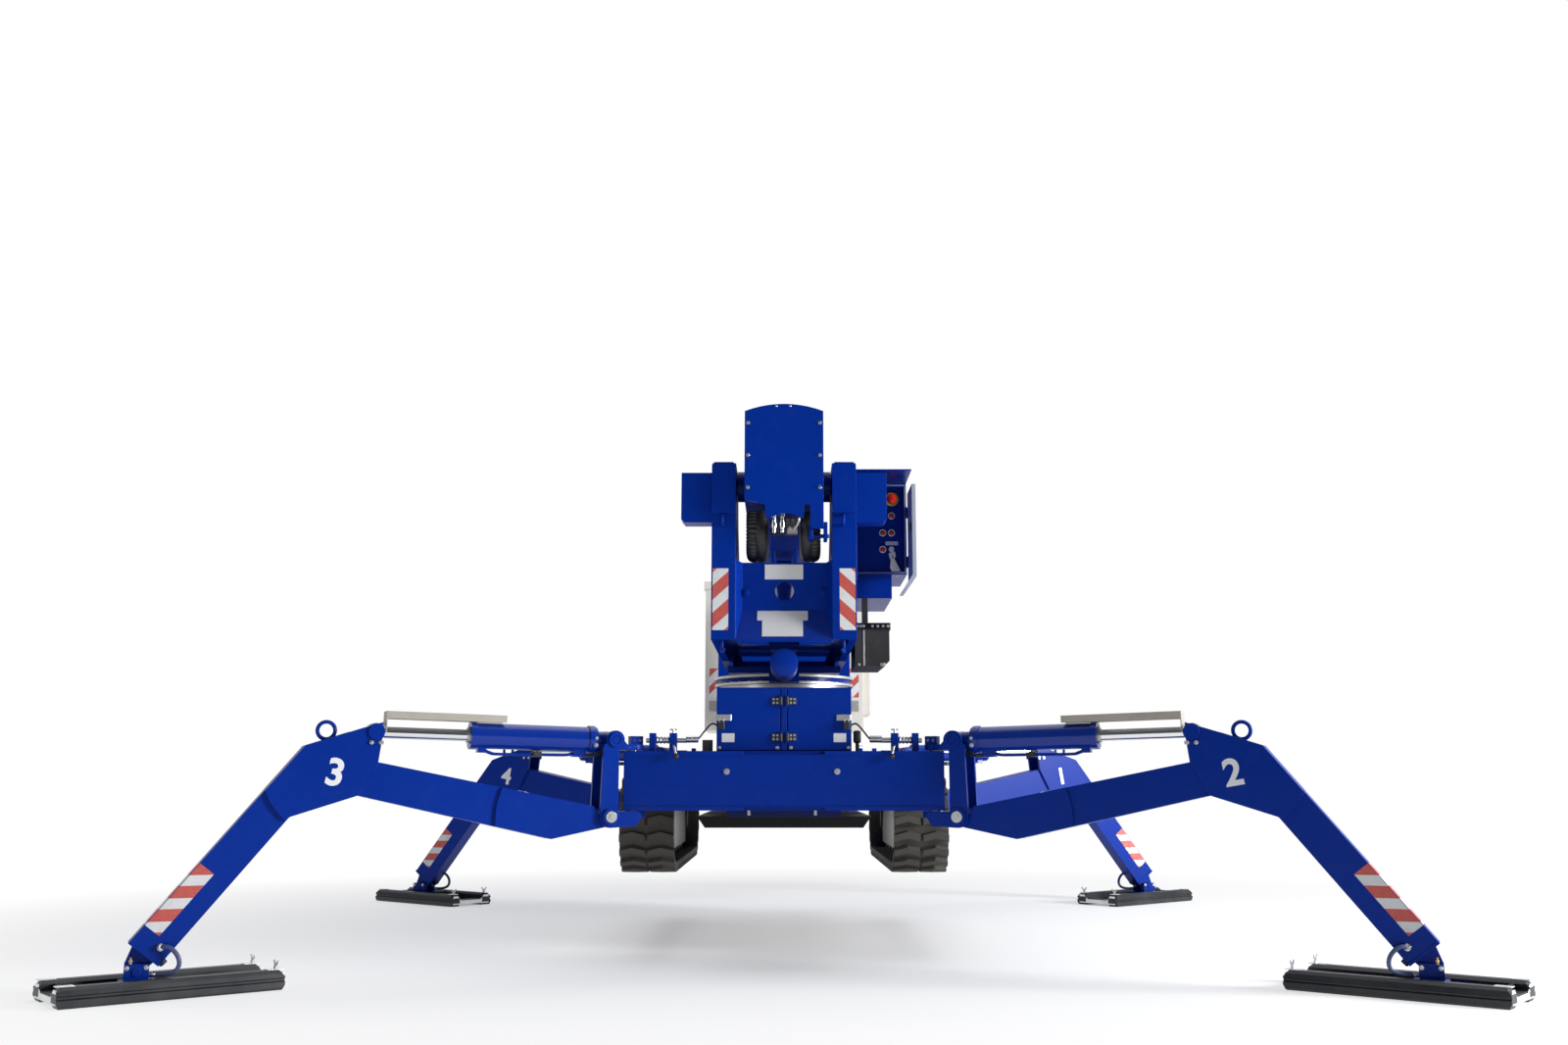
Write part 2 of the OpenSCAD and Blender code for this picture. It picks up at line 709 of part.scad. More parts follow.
module turret_post(side) {
    intersection() {
        side_plate(side > 0 ? post_in : -post_out, side > 0 ? post_out : -post_in) turret_side();
        block([-post_out, tail_y - 1, tail_low], [post_out, ring_y + 330, post_top]);
    }
    // Lower panel that leans in towards the slewing ring
    intersection() {
        side_plate(side > 0 ? 0 : -post_out, side > 0 ? post_out : 0) turret_side();
        upright(tail_y, ring_y + 320)
            polygon([[side * post_out, tail_low + 1], [side * (post_out - 34), tail_low + 1],
                [side * (post_in + 16), turret_z], [side * (post_in + 50), turret_z]]);
    }
    // Head that holds the boom's pivot, with its corners cut
    upright(tail_y - head_out, tail_y + 70)
        polygon([[side * post_in, head_low], [side * post_out, head_low],
            [side * post_out, post_top - 26], [side * (post_out - 12), post_top - 12],
            [side * (post_in + 12), post_top - 12], [side * post_in, post_top - 26]]);
    // Slanted wall beside the recessed rear panel
    translate([0, 0, tail_low]) linear_extrude(panel_top - tail_low)
        polygon([[side * panel_half, panel_y], [side * (post_in - 2), tail_y + 2],
            [side * (post_in + 1), tail_y + 2], [side * (post_in + 1), panel_y + panel_t],
            [side * panel_half, panel_y + panel_t]]);
}

module turret_frame() color(paint) place() {
    turret_post(-1);
    turret_post(1);
    block([-post_in - 50, ring_y - 380, turret_z], [post_in + 50, ring_y + 320, turret_z + deck_t]);
    block([-post_in - 50, ring_y + 290, turret_z + deck_t], [post_in + 50, ring_y + 320, turret_z + 110]);
    difference() {
        side_plate(-post_in, post_in)
            polygon([[panel_y, panel_top], [panel_y, panel_bend], [tail_y, tail_low],
                [tail_y, tail_low - 10], [tail_y + 10, tail_low - 10],
                [panel_y + panel_t, panel_bend - 4], [panel_y + panel_t, panel_top]]);
        translate([2, panel_y + 30, 1631]) rotate([90, 0, 0]) cylinder(r = 42, h = 60);
    }
    axle(boom_pivot_y, boom_pivot_z, 40, -post_out, post_out);
    axle(lift_base_y, lift_base_z, 28, -post_in, post_in);
    // Upper slewing ring with its two flanges
    translate([0, ring_y, ring_split + fine]) difference() {
        union() {
            cylinder(r = ring_body_r, h = turret_z - ring_split - fine);
            cylinder(r = ring_r - 7, h = flange_t);
            translate([0, 0, turret_z - ring_split - fine - flange_t])
                cylinder(r = ring_r - 7, h = flange_t);
        }
        translate([0, 0, -1]) cylinder(r = ring_r - 90, h = turret_z - ring_split);
    }
}

motor_z = turret_z + 12;

module slew_motor() color(paint) place() {
    translate([0, -1060, motor_z]) rotate([90, 0, 0]) cylinder(r = 62, h = 330);
    block([-70, -1060, motor_z - 62], [70, ring_y - 380, motor_z + 15]);
}

cc_x0 = post_out + 12;
cc_x1 = 590;
cc_y0 = -944;
cc_y1 = -500;
cc_z0 = 1767;
cc_z1 = 2210;
cc_rim = 16;
cc_recess = 40;
box_low = 1660;
box_y0 = cc_y0 + 60;
box_y1 = -320;
box_x1 = 520;
hood_reach = 312;
door_axis_x = cc_x1 + 16;
door_axis_y = cc_y0 - 20;
door_len = 250;
knuckle_r = 11;
knuckle_h = 55;
door_z0 = 1660;
door_z1 = 2152;

// Columns: x, z and radius of the bases of the knobs, lamps and key switch
KNOBS = [[522, 2139, 30], [520, 2057, 15], [477, 1974, 15],
    [519, 1974, 15], [476, 1893, 15], [518, 1893, 15]];

module control_cabinet() color(paint) place() {
    difference() {
        block([cc_x0, cc_y0, cc_z0], [cc_x1, cc_y1, cc_z1]);
        block([cc_x0 + cc_rim, cc_y0 - 1, cc_z0 + cc_rim],
            [cc_x1 - cc_rim, cc_y0 + cc_recess, cc_z1 - cc_rim]);
    }
    block([post_out, box_y0, box_low], [box_x1, box_y1, cc_z0]);
    for (z = [1800, 2040])
        difference() {
            union() {
                translate([door_axis_x, door_axis_y, z]) cylinder(r = knuckle_r, h = knuckle_h);
                block([door_axis_x - knuckle_r, door_axis_y, z], [door_axis_x, cc_y0 + 4, z + knuckle_h]);
                block([cc_x1 - 4, cc_y0, z], [door_axis_x, cc_y0 + 4, z + knuckle_h]);
            }
            translate([door_axis_x, door_axis_y, z - 1]) cylinder(r = 6 + pin_gap, h = knuckle_h + 2);
        }
    block([cc_x0, cc_y0 - hood_reach, cc_z1], [cc_x1, cc_y0 + 60, cc_z1 + 6]);
    block([post_out, -1300, 1700], [cc_x0, cc_y1 - 20, 1960]);
    for (knob = KNOBS)
        translate([knob[0], cc_y0 + cc_recess, knob[1]]) rotate([90, 0, 0]) cylinder(r = knob[2], h = 8);
}

module control_door() color(paint) place() {
    // The lower edge folds inwards
    upright(door_axis_y - 14 - door_len, door_axis_y - 14)
        polygon([[door_axis_x - 14, door_z1], [door_axis_x - 14, door_z0 + 70], [door_axis_x - 58, door_z0],
            [door_axis_x - 40, door_z0], [door_axis_x + 4, door_z0 + 62], [door_axis_x + 4, door_z1]]);
    translate([door_axis_x, door_axis_y, 1790]) cylinder(r = 6, h = 315);
    translate([door_axis_x, door_axis_y, 1862]) cylinder(r = knuckle_r, h = 170);
    block([door_axis_x - 6, door_axis_y - 15, 1862], [door_axis_x + 4, door_axis_y, 2032]);
}

cover_out = post_out + 137;
cover_d = 110;

module pivot_covers() color(paint) place() {
    for (side = [-1, 1])
        upright(tail_y + 2, tail_y + 2 + cover_d)
            polygon([[side * post_out, post_top - 282], [side * (cover_out - 14), post_top - 282],
                [side * cover_out, post_top - 266], [side * cover_out, post_top - 56],
                [side * post_out, post_top - 56]]);
}

battery_y0 = -1250;
battery_y1 = -850;
battery_x1 = 479;
battery_z0 = 1306;
battery_z1 = 1502;

module battery_box() color(black) place() {
    upright(battery_y0, battery_y1)
        polygon([[post_out, battery_z0], [battery_x1 - 30, battery_z0], [battery_x1, battery_z0 + 24],
            [battery_x1, battery_z1 - 32], [post_out, battery_z1 - 32]]);
    block([post_out, battery_y0 - 6, battery_z1 - 32], [battery_x1 + 5, battery_y1 + 6, battery_z1]);
    block([375, battery_y1 - 34, battery_z1], [403, battery_y1 - 6, box_low]);
}

lift_run = lift_rod_y - lift_base_y;
lift_rise = lift_rod_z - lift_base_z;
lift_len = sqrt(lift_run * lift_run + lift_rise * lift_rise);
lift_tilt = atan2(lift_rise, lift_run);

module along_lift() {
    translate([0, lift_base_y, lift_base_z]) rotate([lift_tilt - 90, 0, 0]) children();
}

module lift_cylinder_barrel() color(paint) place() {
    difference() {
        union() {
            axle(lift_base_y, lift_base_z, 56, -60, 60);
            along_lift() {
                translate([0, 0, 30]) cylinder(r = 50, h = 60);
                translate([0, 0, 80]) cylinder(r = 72, h = 920);
            }
        }
        axle(lift_base_y, lift_base_z, 28 + pin_gap, -70, 70);
        along_lift() translate([0, 0, 100]) cylinder(r = 45 + pin_gap, h = 920);
    }
}

module lift_cylinder_rod() color(chrome) place() {
    along_lift() translate([0, 0, 110]) cylinder(r = 45, h = lift_len - 140);
    axle(lift_rod_y, lift_rod_z, 52, -40, 40);
}

// Outline of a boom section: flat sides with an arched top, drawn about the boom's centre line
module boom_shape(w, h) {
    arch_r = (w * w / 4 + arch_rise * arch_rise) / (2 * arch_rise);
    intersection() {
        translate([-w / 2, 0]) square([w, h]);
        translate([0, h - arch_r]) circle(r = arch_r, $fn = 180);
    }
}

module boom_tube(step, y0, y1) {
    inset = step * (boom_wall + boom_gap);
    w = boom_w - 2 * inset;
    h = boom_h - 2 * inset;
    translate([0, 0, boom_z + inset]) upright(y0, y1) difference() {
        boom_shape(w, h);
        translate([0, boom_wall]) boom_shape(w - 2 * boom_wall, h - 2 * boom_wall);
    }
}

// Wear pads in the mouth of a section, which carry the next section
module mouth_pads(step, y1) {
    inset = step * (boom_wall + boom_gap) + boom_wall;
    w = boom_w - 2 * inset;
    t = boom_gap - fine;
    for (side = [-1, 1]) {
        block([side > 0 ? w / 2 - t : -w / 2, y1 - 80, boom_z + inset + 60],
            [side > 0 ? w / 2 : -w / 2 + t, y1, boom_z + inset + 180]);
        block([side * w / 4 - 30, y1 - 80, boom_z + inset], [side * w / 4 + 30, y1, boom_z + inset + t]);
    }
}

module boom_base() color(paint) place() {
    difference() {
        union() {
            boom_tube(0, boom_rear_y, boom_front_y);
            mouth_pads(0, boom_front_y);
            for (side = [-1, 1])
                axle(boom_pivot_y, boom_pivot_z, 70, side > 0 ? boom_w / 2 - 8 : -post_in + 3,
                    side > 0 ? post_in - 3 : -boom_w / 2 + 8);
        }
        axle(boom_pivot_y, boom_pivot_z, 40 + pin_gap, -post_in, post_in);
    }
    for (side = [-1, 1])
        side_plate(side > 0 ? 50 : -70, side > 0 ? 70 : -50) union() {
            polygon([[lift_rod_y - 160, boom_z], [lift_rod_y - 45, lift_rod_z - 30],
                [lift_rod_y + 45, lift_rod_z - 30], [lift_rod_y + 160, boom_z]]);
            translate([lift_rod_y, lift_rod_z]) circle(r = 55);
        }
}

module boom_end_cover() color(paint) place() {
    half = boom_w / 2;
    arc_r = 132;
    upright(boom_rear_y - 14, boom_rear_y) {
        translate([0, boom_z]) boom_shape(boom_w, boom_h);
        difference() {
            polygon([[-half, boom_z - 2], [-half + 90, boom_z - 26], [-half + 94, boom_z - 86],
                [half - 88, boom_z - 86], [half - 88, boom_z - 26], [half - 60, boom_z - 26],
                [half - 60, boom_z - 134], [half, boom_z - 134], [half, boom_z + 1], [-half, boom_z + 1]]);
            translate([8, boom_z - 66 - arc_r]) circle(r = arc_r);
        }
    }
}

module boom_section_2() color(paint) place() {
    boom_tube(1, boom_pivot_y + 60, boom_front_y + 80);
    mouth_pads(1, boom_front_y + 80);
}

module boom_section_3() color(paint) place() {
    boom_tube(2, boom_pivot_y + 100, boom_front_y + 160);
    mouth_pads(2, boom_front_y + 160);
}

module boom_section_4() color(paint) place() {
    boom_tube(3, boom_pivot_y + 140, boom_front_y + 260);
    for (side = [-1, 1])
        side_plate(side > 0 ? 62 : -82, side > 0 ? 82 : -62) difference() {
            union() {
                polygon([[boom_front_y + 200, boom_z + 100], [head_y, head_z - 50], [head_y, head_z + 50],
                    [boom_front_y + 200, boom_z + 300]]);
                translate([head_y, head_z]) circle(r = 50);
            }
            translate([head_y, head_z]) circle(r = 25 + pin_gap);
        }
    upright(boom_front_y + 236, boom_front_y + 260) translate([0, boom_z + 3 * (boom_wall + boom_gap) + 4])
        boom_shape(boom_w - 6 * (boom_wall + boom_gap) - 8, boom_h - 6 * (boom_wall + boom_gap) - 8);
}

module levelling_head() color(paint) place() {
    side_plate(-60, 60) union() {
        translate([head_y, head_z]) circle(r = 48);
        polygon([[head_y - 40, head_z - 26], [head_y + 30, head_z + 37], [jib_top_y + 40, jib_top_z + 26],
            [jib_top_y - 30, jib_top_z - 37]]);
        translate([jib_top_y, jib_top_z]) circle(r = 48);
    }
    axle(head_y, head_z, 25, -88, 88);
    axle(jib_top_y, jib_top_z, 25, -88, 88);
}

module jib() color(paint) place() {
    difference() {
        union() {
            for (side = [-1, 1])
                side_plate(side > 0 ? 62 : -80, side > 0 ? 80 : -62) union() {
                    translate([jib_top_y, jib_top_z]) circle(r = 48);
                    polygon([[jib_top_y - 48, jib_top_z], [jib_top_y + 48, jib_top_z],
                        [jib_end_y + 48, jib_end_z], [jib_end_y - 48, jib_end_z]]);
                    translate([jib_end_y, jib_end_z]) circle(r = 48);
                }
            side_plate(-62, 62)
                polygon([[jib_top_y, jib_top_z - 150], [jib_top_y + 50, jib_top_z - 150],
                    [jib_end_y + 30, jib_end_z + 150], [jib_end_y - 40, jib_end_z + 150]]);
        }
        axle(jib_top_y, jib_top_z, 25 + pin_gap, -100, 100);
        axle(jib_end_y, jib_end_z, 25 + pin_gap, -100, 100);
    }
}

column_r = 40;
column_z0 = basket_z + 20;
column_z1 = basket_z + 400;

module basket_bracket() color(paint) place() {
    axle(jib_end_y, jib_end_z, 25, -86, 86);
    axle(jib_end_y, jib_end_z, 48, -60, 60);
    side_plate(-60, 60)
        polygon([[jib_end_y, jib_end_z - 48], [turn_y, jib_end_z - 60], [turn_y, jib_end_z + 100],
            [jib_end_y, jib_end_z + 48]]);
    translate([0, turn_y, column_z0]) cylinder(r = column_r, h = column_z1 - column_z0);
    translate([0, turn_y, jib_end_z - 60]) cylinder(r = 60, h = 160);
}

module basket() color(cream) place() {
    difference() {
        block([-basket_w / 2, basket_y0, basket_z], [basket_w / 2, basket_y1, basket_z + basket_h]);
        block([-basket_w / 2 + basket_wall, basket_y0 + basket_wall, basket_z + 30],
            [basket_w / 2 - basket_wall, basket_y1 - basket_wall, basket_z + basket_h + 1]);
    }
    for (z = [column_z0 + 4, column_z1 - 34])
        difference() {
            union() {
                block([-70, turn_y, z], [70, basket_y0, z + 30]);
                translate([0, turn_y, z]) cylinder(r = 70, h = 30);
            }
            translate([0, turn_y, z - 1]) cylinder(r = column_r + pin_gap, h = 32);
        }
    // Tray on the right side, and the rim round the top
    block([basket_w / 2, basket_y0 + 60, basket_z + 120],
        [basket_w / 2 + 55, basket_y0 + 500, basket_z + 760]);
    difference() {
        block([-basket_w / 2 - 12, basket_y0 - 12, basket_z + basket_h - 60],
            [basket_w / 2 + 12, basket_y1, basket_z + basket_h]);
        block([-basket_w / 2 + 10, basket_y0 + 10, basket_z + basket_h - 61],
            [basket_w / 2 - 10, basket_y1 - 10, basket_z + basket_h + 1]);
    }
}

module basket_controls() color(black) place() {
    block([-220, basket_y1 - basket_wall - 120, basket_z + basket_h - 120],
        [220, basket_y1 - basket_wall, basket_z + basket_h + 20]);
}

module swing_bracket_rr() color(paint) place() at_leg(1, -1) swing_bracket();
module swing_bracket_rl() color(paint) place() at_leg(-1, -1) swing_bracket();
module swing_bracket_fr() color(paint) place() at_leg(1, 1) swing_bracket();
module swing_bracket_fl() color(paint) place() at_leg(-1, 1) swing_bracket();

module leg_rr() color(paint) place() at_leg(1, -1) leg_body();
module leg_rl() color(paint) place() at_leg(-1, -1) leg_body();
module leg_fr() color(paint) place() at_leg(1, 1) leg_body();
module leg_fl() color(paint) place() at_leg(-1, 1) leg_body();

module leg_cylinder_rr() color(paint) place() at_leg(1, -1) leg_cylinder();
module leg_cylinder_rl() color(paint) place() at_leg(-1, -1) leg_cylinder();
module leg_cylinder_fr() color(paint) place() at_leg(1, 1) leg_cylinder();
module leg_cylinder_fl() color(paint) place() at_leg(-1, 1) leg_cylinder();

module leg_rod_rr() color(chrome) place() at_leg(1, -1) leg_rod();
module leg_rod_rl() color(chrome) place() at_leg(-1, -1) leg_rod();
module leg_rod_fr() color(chrome) place() at_leg(1, 1) leg_rod();
module leg_rod_fl() color(chrome) place() at_leg(-1, 1) leg_rod();

module pad_rr() color(black) place() at_leg(1, -1) pad();
module pad_rl() color(black) place() at_leg(-1, -1) pad();
module pad_fr() color(black) place() at_leg(1, 1) pad();
module pad_fl() color(black) place() at_leg(-1, 1) pad();

module foot_block_rr() color(paint) place() at_leg(1, -1) foot_block();
module foot_block_rl() color(paint) place() at_leg(-1, -1) foot_block();
module foot_block_fr() color(paint) place() at_leg(1, 1) foot_block();
module foot_block_fl() color(paint) place() at_leg(-1, 1) foot_block();

chassis_frame();
rear_crossbeam();
front_crossbeam();
belly_pan();
pedestal();
rear_cabinet();
rear_door_left();
rear_door_right();
power_pack_hood();
engine_block();
axle_beams();
track_frame_left();
track_frame_right();
track_left();
track_right();
swing_pins();
swing_locks();
slewing_ring_lower();
turret_frame();
slew_motor();
control_cabinet();
control_door();
pivot_covers();
battery_box();
lift_cylinder_barrel();
lift_cylinder_rod();
boom_base();
boom_end_cover();
boom_section_2();
boom_section_3();
boom_section_4();
levelling_head();
jib();
basket_bracket();
basket();
basket_controls();
swing_bracket_rr();
swing_bracket_rl();
swing_bracket_fr();
swing_bracket_fl();
leg_rr();
leg_rl();
leg_fr();
leg_fl();
leg_cylinder_rr();
leg_cylinder_rl();
leg_cylinder_fr();
leg_cylinder_fl();
leg_rod_rr();
leg_rod_rl();
leg_rod_fr();
leg_rod_fl();
pad_rr();
pad_rl();
pad_fr();
pad_fl();
foot_block_rr();
foot_block_rl();
foot_block_fr();
foot_block_fl();
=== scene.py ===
"""Looks of a tracked spider boom lift: its finishes, fittings, hoses, markings and studio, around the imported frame."""

import json
import logging
import math
from collections.abc import Iterable, Sequence
from dataclasses import dataclass, field
from enum import Enum
from typing import ClassVar

import bmesh
import bpy
from mathutils import Matrix, Vector


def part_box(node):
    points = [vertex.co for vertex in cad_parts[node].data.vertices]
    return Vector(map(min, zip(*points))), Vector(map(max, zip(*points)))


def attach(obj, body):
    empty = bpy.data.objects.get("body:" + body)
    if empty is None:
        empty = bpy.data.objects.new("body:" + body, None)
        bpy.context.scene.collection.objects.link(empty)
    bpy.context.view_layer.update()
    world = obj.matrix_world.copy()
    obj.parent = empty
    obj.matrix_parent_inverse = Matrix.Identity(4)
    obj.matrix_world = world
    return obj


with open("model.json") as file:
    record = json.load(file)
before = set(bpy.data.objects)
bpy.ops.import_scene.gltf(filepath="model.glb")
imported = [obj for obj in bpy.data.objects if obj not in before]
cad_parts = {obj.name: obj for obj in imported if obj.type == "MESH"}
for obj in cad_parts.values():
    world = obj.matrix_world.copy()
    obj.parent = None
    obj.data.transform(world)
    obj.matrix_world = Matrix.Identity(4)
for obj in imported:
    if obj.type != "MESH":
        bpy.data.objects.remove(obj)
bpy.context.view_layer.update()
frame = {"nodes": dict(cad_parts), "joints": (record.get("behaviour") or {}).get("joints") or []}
LOG = logging.getLogger("boom_lift")
MM = 0.001
Point = Sequence[float]
Outline = Sequence[tuple[float, float]]


def middle(node: str) -> Vector:
    """The middle of a CAD node's box, in metres."""
    low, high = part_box(node)
    return (low + high) / 2


JOINTS = {joint["name"]: joint for joint in frame["joints"]}
CHASSIS_Y = (middle("rear_crossbeam").y + middle("front_crossbeam").y) / 2
CHASSIS = Matrix.Translation((0, CHASSIS_Y, 0)) @ Matrix.Scale(MM, 4)


class Leg(Enum):
    """The four legs, seen from the rear, with the number painted on each."""

    REAR_RIGHT = ("rr", "2")
    REAR_LEFT = ("rl", "3")
    FRONT_RIGHT = ("fr", "1")
    FRONT_LEFT = ("fl", "4")

    @property
    def code(self) -> str:
        """The ending of the leg's node and body names."""
        return self.value[0]

    @property
    def number(self) -> str:
        """The number painted on the leg."""
        return self.value[1]

    def placing(self) -> Matrix:
        """The leg's own millimetres: along the leg, sideways towards the machine's middle, and up."""
        pivot = Vector(JOINTS[f"leg_swing_{self.code}"]["pos_m"])
        along = Vector(JOINTS[f"leg_rod_slide_{self.code}"]["axis"])
        along.z = 0
        along.normalize()
        inward = Vector((0, math.copysign(1, CHASSIS_Y - pivot.y), 0))
        inward = (inward - inward.dot(along) * along).normalized()
        axes = Matrix((along, inward, (0, 0, 1))).transposed().to_4x4()
        return Matrix.Translation((pivot.x, pivot.y, 0)) @ axes @ Matrix.Scale(MM, 4)


class Plane(Enum):
    """The plane that an outline is drawn in: its two axes and the axis that it is thick along."""

    SIDE = (1, 2, 0)
    UPRIGHT = (0, 2, 1)
    FLAT = (0, 1, 2)


class Network:
    """A node tree that is built one node at a time."""

    def __init__(self, tree: bpy.types.NodeTree) -> None:
        """Start with an empty tree."""
        self.tree = tree
        self.tree.nodes.clear()

    def add(self, kind: str, settings: dict | None = None, inputs: dict | None = None, out: int | str = 0) -> "Signal":
        """Add one node.

        Args:
            kind: The node's type.
            settings: Its own settings, and the stops of a ramp.
            inputs: Values or signals for its sockets, by name or number.
            out: The output socket to give back, by name or number.

        Returns:
            The chosen output as a signal.
        """
        node = self.tree.nodes.new(kind)
        for key, value in (settings or {}).items():
            if key == "stops":
                ramp = node.color_ramp
                for index, (place, colour) in enumerate(value):
                    stop = ramp.elements[index] if index < 2 else ramp.elements.new(place)
                    stop.position = place
                    stop.color = (*colour, 1)
            else:
                setattr(node, key, value)
        for key, value in (inputs or {}).items():
            for item in value if isinstance(value, list) else [value]:
                if isinstance(item, Signal):
                    self.tree.links.new(item.socket, node.inputs[key])
                else:
                    node.inputs[key].default_value = item
        return Signal(self, node.outputs[out] if len(node.outputs) else None)


class Signal:
    """An output socket in a Python expression: each operator adds a Math node."""

    def __init__(self, network: Network, socket: bpy.types.NodeSocket | None) -> None:
        """Wrap one socket of a network."""
        self.network = network
        self.socket = socket

    def maths(self, operation: str, *values: "Signal | float") -> "Signal":
        """Add a Math node that works on the values in order."""
        return self.network.add("ShaderNodeMath", {"operation": operation}, dict(enumerate(values)))

    def __add__(self, other: "Signal | float") -> "Signal":
        """Sum."""
        return self.maths("ADD", self, other)

    def __sub__(self, other: "Signal | float") -> "Signal":
        """Difference."""
        return self.maths("SUBTRACT", self, other)

    def __rsub__(self, other: float) -> "Signal":
        """Difference from a number."""
        return self.maths("SUBTRACT", other, self)

    def __mul__(self, other: "Signal | float") -> "Signal":
        """Product."""
        return self.maths("MULTIPLY", self, other)

    def __truediv__(self, other: float) -> "Signal":
        """Quotient."""
        return self.maths("DIVIDE", self, other)

    def __lt__(self, other: "Signal | float") -> "Signal":
        """1 where this is less."""
        return self.maths("LESS_THAN", self, other)

    def __gt__(self, other: "Signal | float") -> "Signal":
        """1 where this is more."""
        return self.maths("GREATER_THAN", self, other)

    __radd__ = __add__
    __rmul__ = __mul__

    def fraction(self) -> "Signal":
        """The part after the decimal point."""
        return self.maths("FRACT", self)

    def clamped(self) -> "Signal":
        """Held between 0 and 1."""
        return self.network.add("ShaderNodeClamp", None, {"Value": self})

    def part(self, axis: str) -> "Signal":
        """One component of a vector."""
        return self.network.add("ShaderNodeSeparateXYZ", None, {0: self}, axis)


class Surface(Network):
    """The node tree of one material."""

    def __init__(self, name: str) -> None:
        """Make the material and its empty tree."""
        self.material = bpy.data.materials.new(name)
        self.material.use_nodes = True
        super().__init__(self.material.node_tree)

    def place(self) -> Signal:
        """A point's place on the object, in metres."""
        return self.add("ShaderNodeTexCoord", out="Object")

    def noise(self, scale: float, detail: float = 3, rough: float = 0.55, stretch: Point = (1, 1, 1)) -> Signal:
        """Noise from 0 to 1 on object coordinates.

        Args:
            scale: Waves to the metre.
            detail: Octaves.
            rough: Share kept by each finer octave.
            stretch: Scale along each axis.

        Returns:
            The noise value.
        """
        spot = self.add("ShaderNodeMapping", None, {"Vector": self.place(), "Scale": tuple(stretch)})
        return self.add("ShaderNodeTexNoise", None, {"Vector": spot, "Scale": scale, "Detail": detail, "Roughness": rough})

    def blend(self, share: Signal | float, first: Signal | tuple, second: Signal | tuple) -> Signal:
        """Mix two colours."""
        pair = [colour if isinstance(colour, Signal) else (*colour, 1) for colour in (first, second)]
        return self.add("ShaderNodeMix", {"data_type": "RGBA"}, {0: share, 6: pair[0], 7: pair[1]}, 2)

    def rounded(self, radius: float) -> Signal:
        """The normal with edges rounded to a radius in metres."""
        return self.add("ShaderNodeBevel", {"samples": 4}, {"Radius": radius})

    def bump(self, height: Signal, depth: float, normal: Signal | None = None) -> Signal:
        """A normal bent by a height, whose full range is depth metres."""
        extra = {"Normal": normal} if normal else {}
        return self.add("ShaderNodeBump", None, {"Height": height, "Distance": depth, "Strength": 1.0, **extra})

    def close(self, **sockets: Signal | float | tuple) -> bpy.types.Material:
        """End the tree in one Principled shader.

        Args:
            **sockets: Socket values by name, with _ for a space.

        Returns:
            The finished material.
        """
        inputs = {}
        for key, value in sockets.items():
            words = key.replace("_", " ").title().replace("Ior", "IOR")
            inputs[words] = (*value, 1) if isinstance(value, tuple) else value
        shader = self.add("ShaderNodeBsdfPrincipled", None, inputs)
        self.add("ShaderNodeOutputMaterial", None, {"Surface": shader})
        return self.material


@dataclass(frozen=True)
class Finish:
    """A finish that a piece can have, with the record's slot that it stands for."""

    name: str
    slot: str | None = None
    made: ClassVar[dict[str, bpy.types.Material]] = {}

    def material(self) -> bpy.types.Material:
        """The finish's material, built the first time."""
        if self.name not in Finish.made:
            Finish.made[self.name] = self.build(Surface(self.name))
        return Finish.made[self.name]

    def build(self, surface: Surface) -> bpy.types.Material:
        """Fill in the material's nodes."""
        raise NotImplementedError


@dataclass(frozen=True)
class Paint(Finish):
    """Sprayed gloss paint with orange peel, a film of dust on upward faces, and edges in a lighter colour that is
    partly rubbed wear and partly a painted highlight.
    """

    colour: tuple = (0.0002, 0.0255, 0.275)
    rough: float = 0.34
    dust: float = 0.03
    # Lighter colour along the edges: rubbed paint together with a painted highlight where the edges catch light.
    worn: tuple = (0.008, 0.06, 0.42)
    coat: float = 0.06
    gloss: float = 0.08

    def build(self, surface: Surface) -> bpy.types.Material:
        """Build the paint."""
        cloud, grime, peel = surface.noise(1.7, 3), surface.noise(14, 5, 0.65), surface.noise(420, 2)
        scratch = surface.noise(60, 3, 0.6, (1, 1, 9))
        soft = surface.rounded(0.003)
        flat = surface.add("ShaderNodeNewGeometry", out="Normal")
        facing = surface.add("ShaderNodeVectorMath", {"operation": "DOT_PRODUCT"}, {0: soft, 1: flat}, "Value")
        edge = ((1 - facing) * 5 * (0.35 + grime)).clamped()
        up = surface.add("ShaderNodeTexCoord", out="Normal").part("Z").clamped()
        film = (up * self.dust * (0.4 + cloud) + (grime - 0.5).clamped() * self.dust).clamped()
        deep = tuple(0.82 * c for c in self.colour)
        base = surface.blend(cloud, deep, tuple(1.12 * c for c in self.colour))
        base = self.base(surface, base)
        # Lighten the edges: part rubbed wear, part a painted highlight along them.
        base = surface.blend(edge * 0.45, base, self.worn)
        base = surface.blend(film, base, (0.42, 0.42, 0.40))
        rough = (self.rough + film * 0.9 + (grime - 0.5) * 0.10 + (scratch - 0.62).clamped() * 0.5).clamped()
        return surface.close(base_color=base, roughness=rough, coat_weight=(self.coat - film * 1.5).clamped(),
                             specular_ior_level=self.gloss, coat_roughness=0.12,
                             normal=surface.bump(peel, 0.00006, soft))

    def base(self, surface: Surface, colour: Signal) -> Signal:
        """The colour before wear and dust, here the same everywhere."""
        return colour


@dataclass(frozen=True)
class LinedPaint(Paint):
    """Paint that is pale on every face but the outer one."""

    lining: tuple = (0.36, 0.40, 0.46)

    def base(self, surface: Surface, colour: Signal) -> Signal:
        """A pale colour wherever a face doesn't look outwards along X."""
        outer = surface.add("ShaderNodeTexCoord", out="Normal").part("X")
        return surface.blend(0.5 < outer, self.lining, colour)


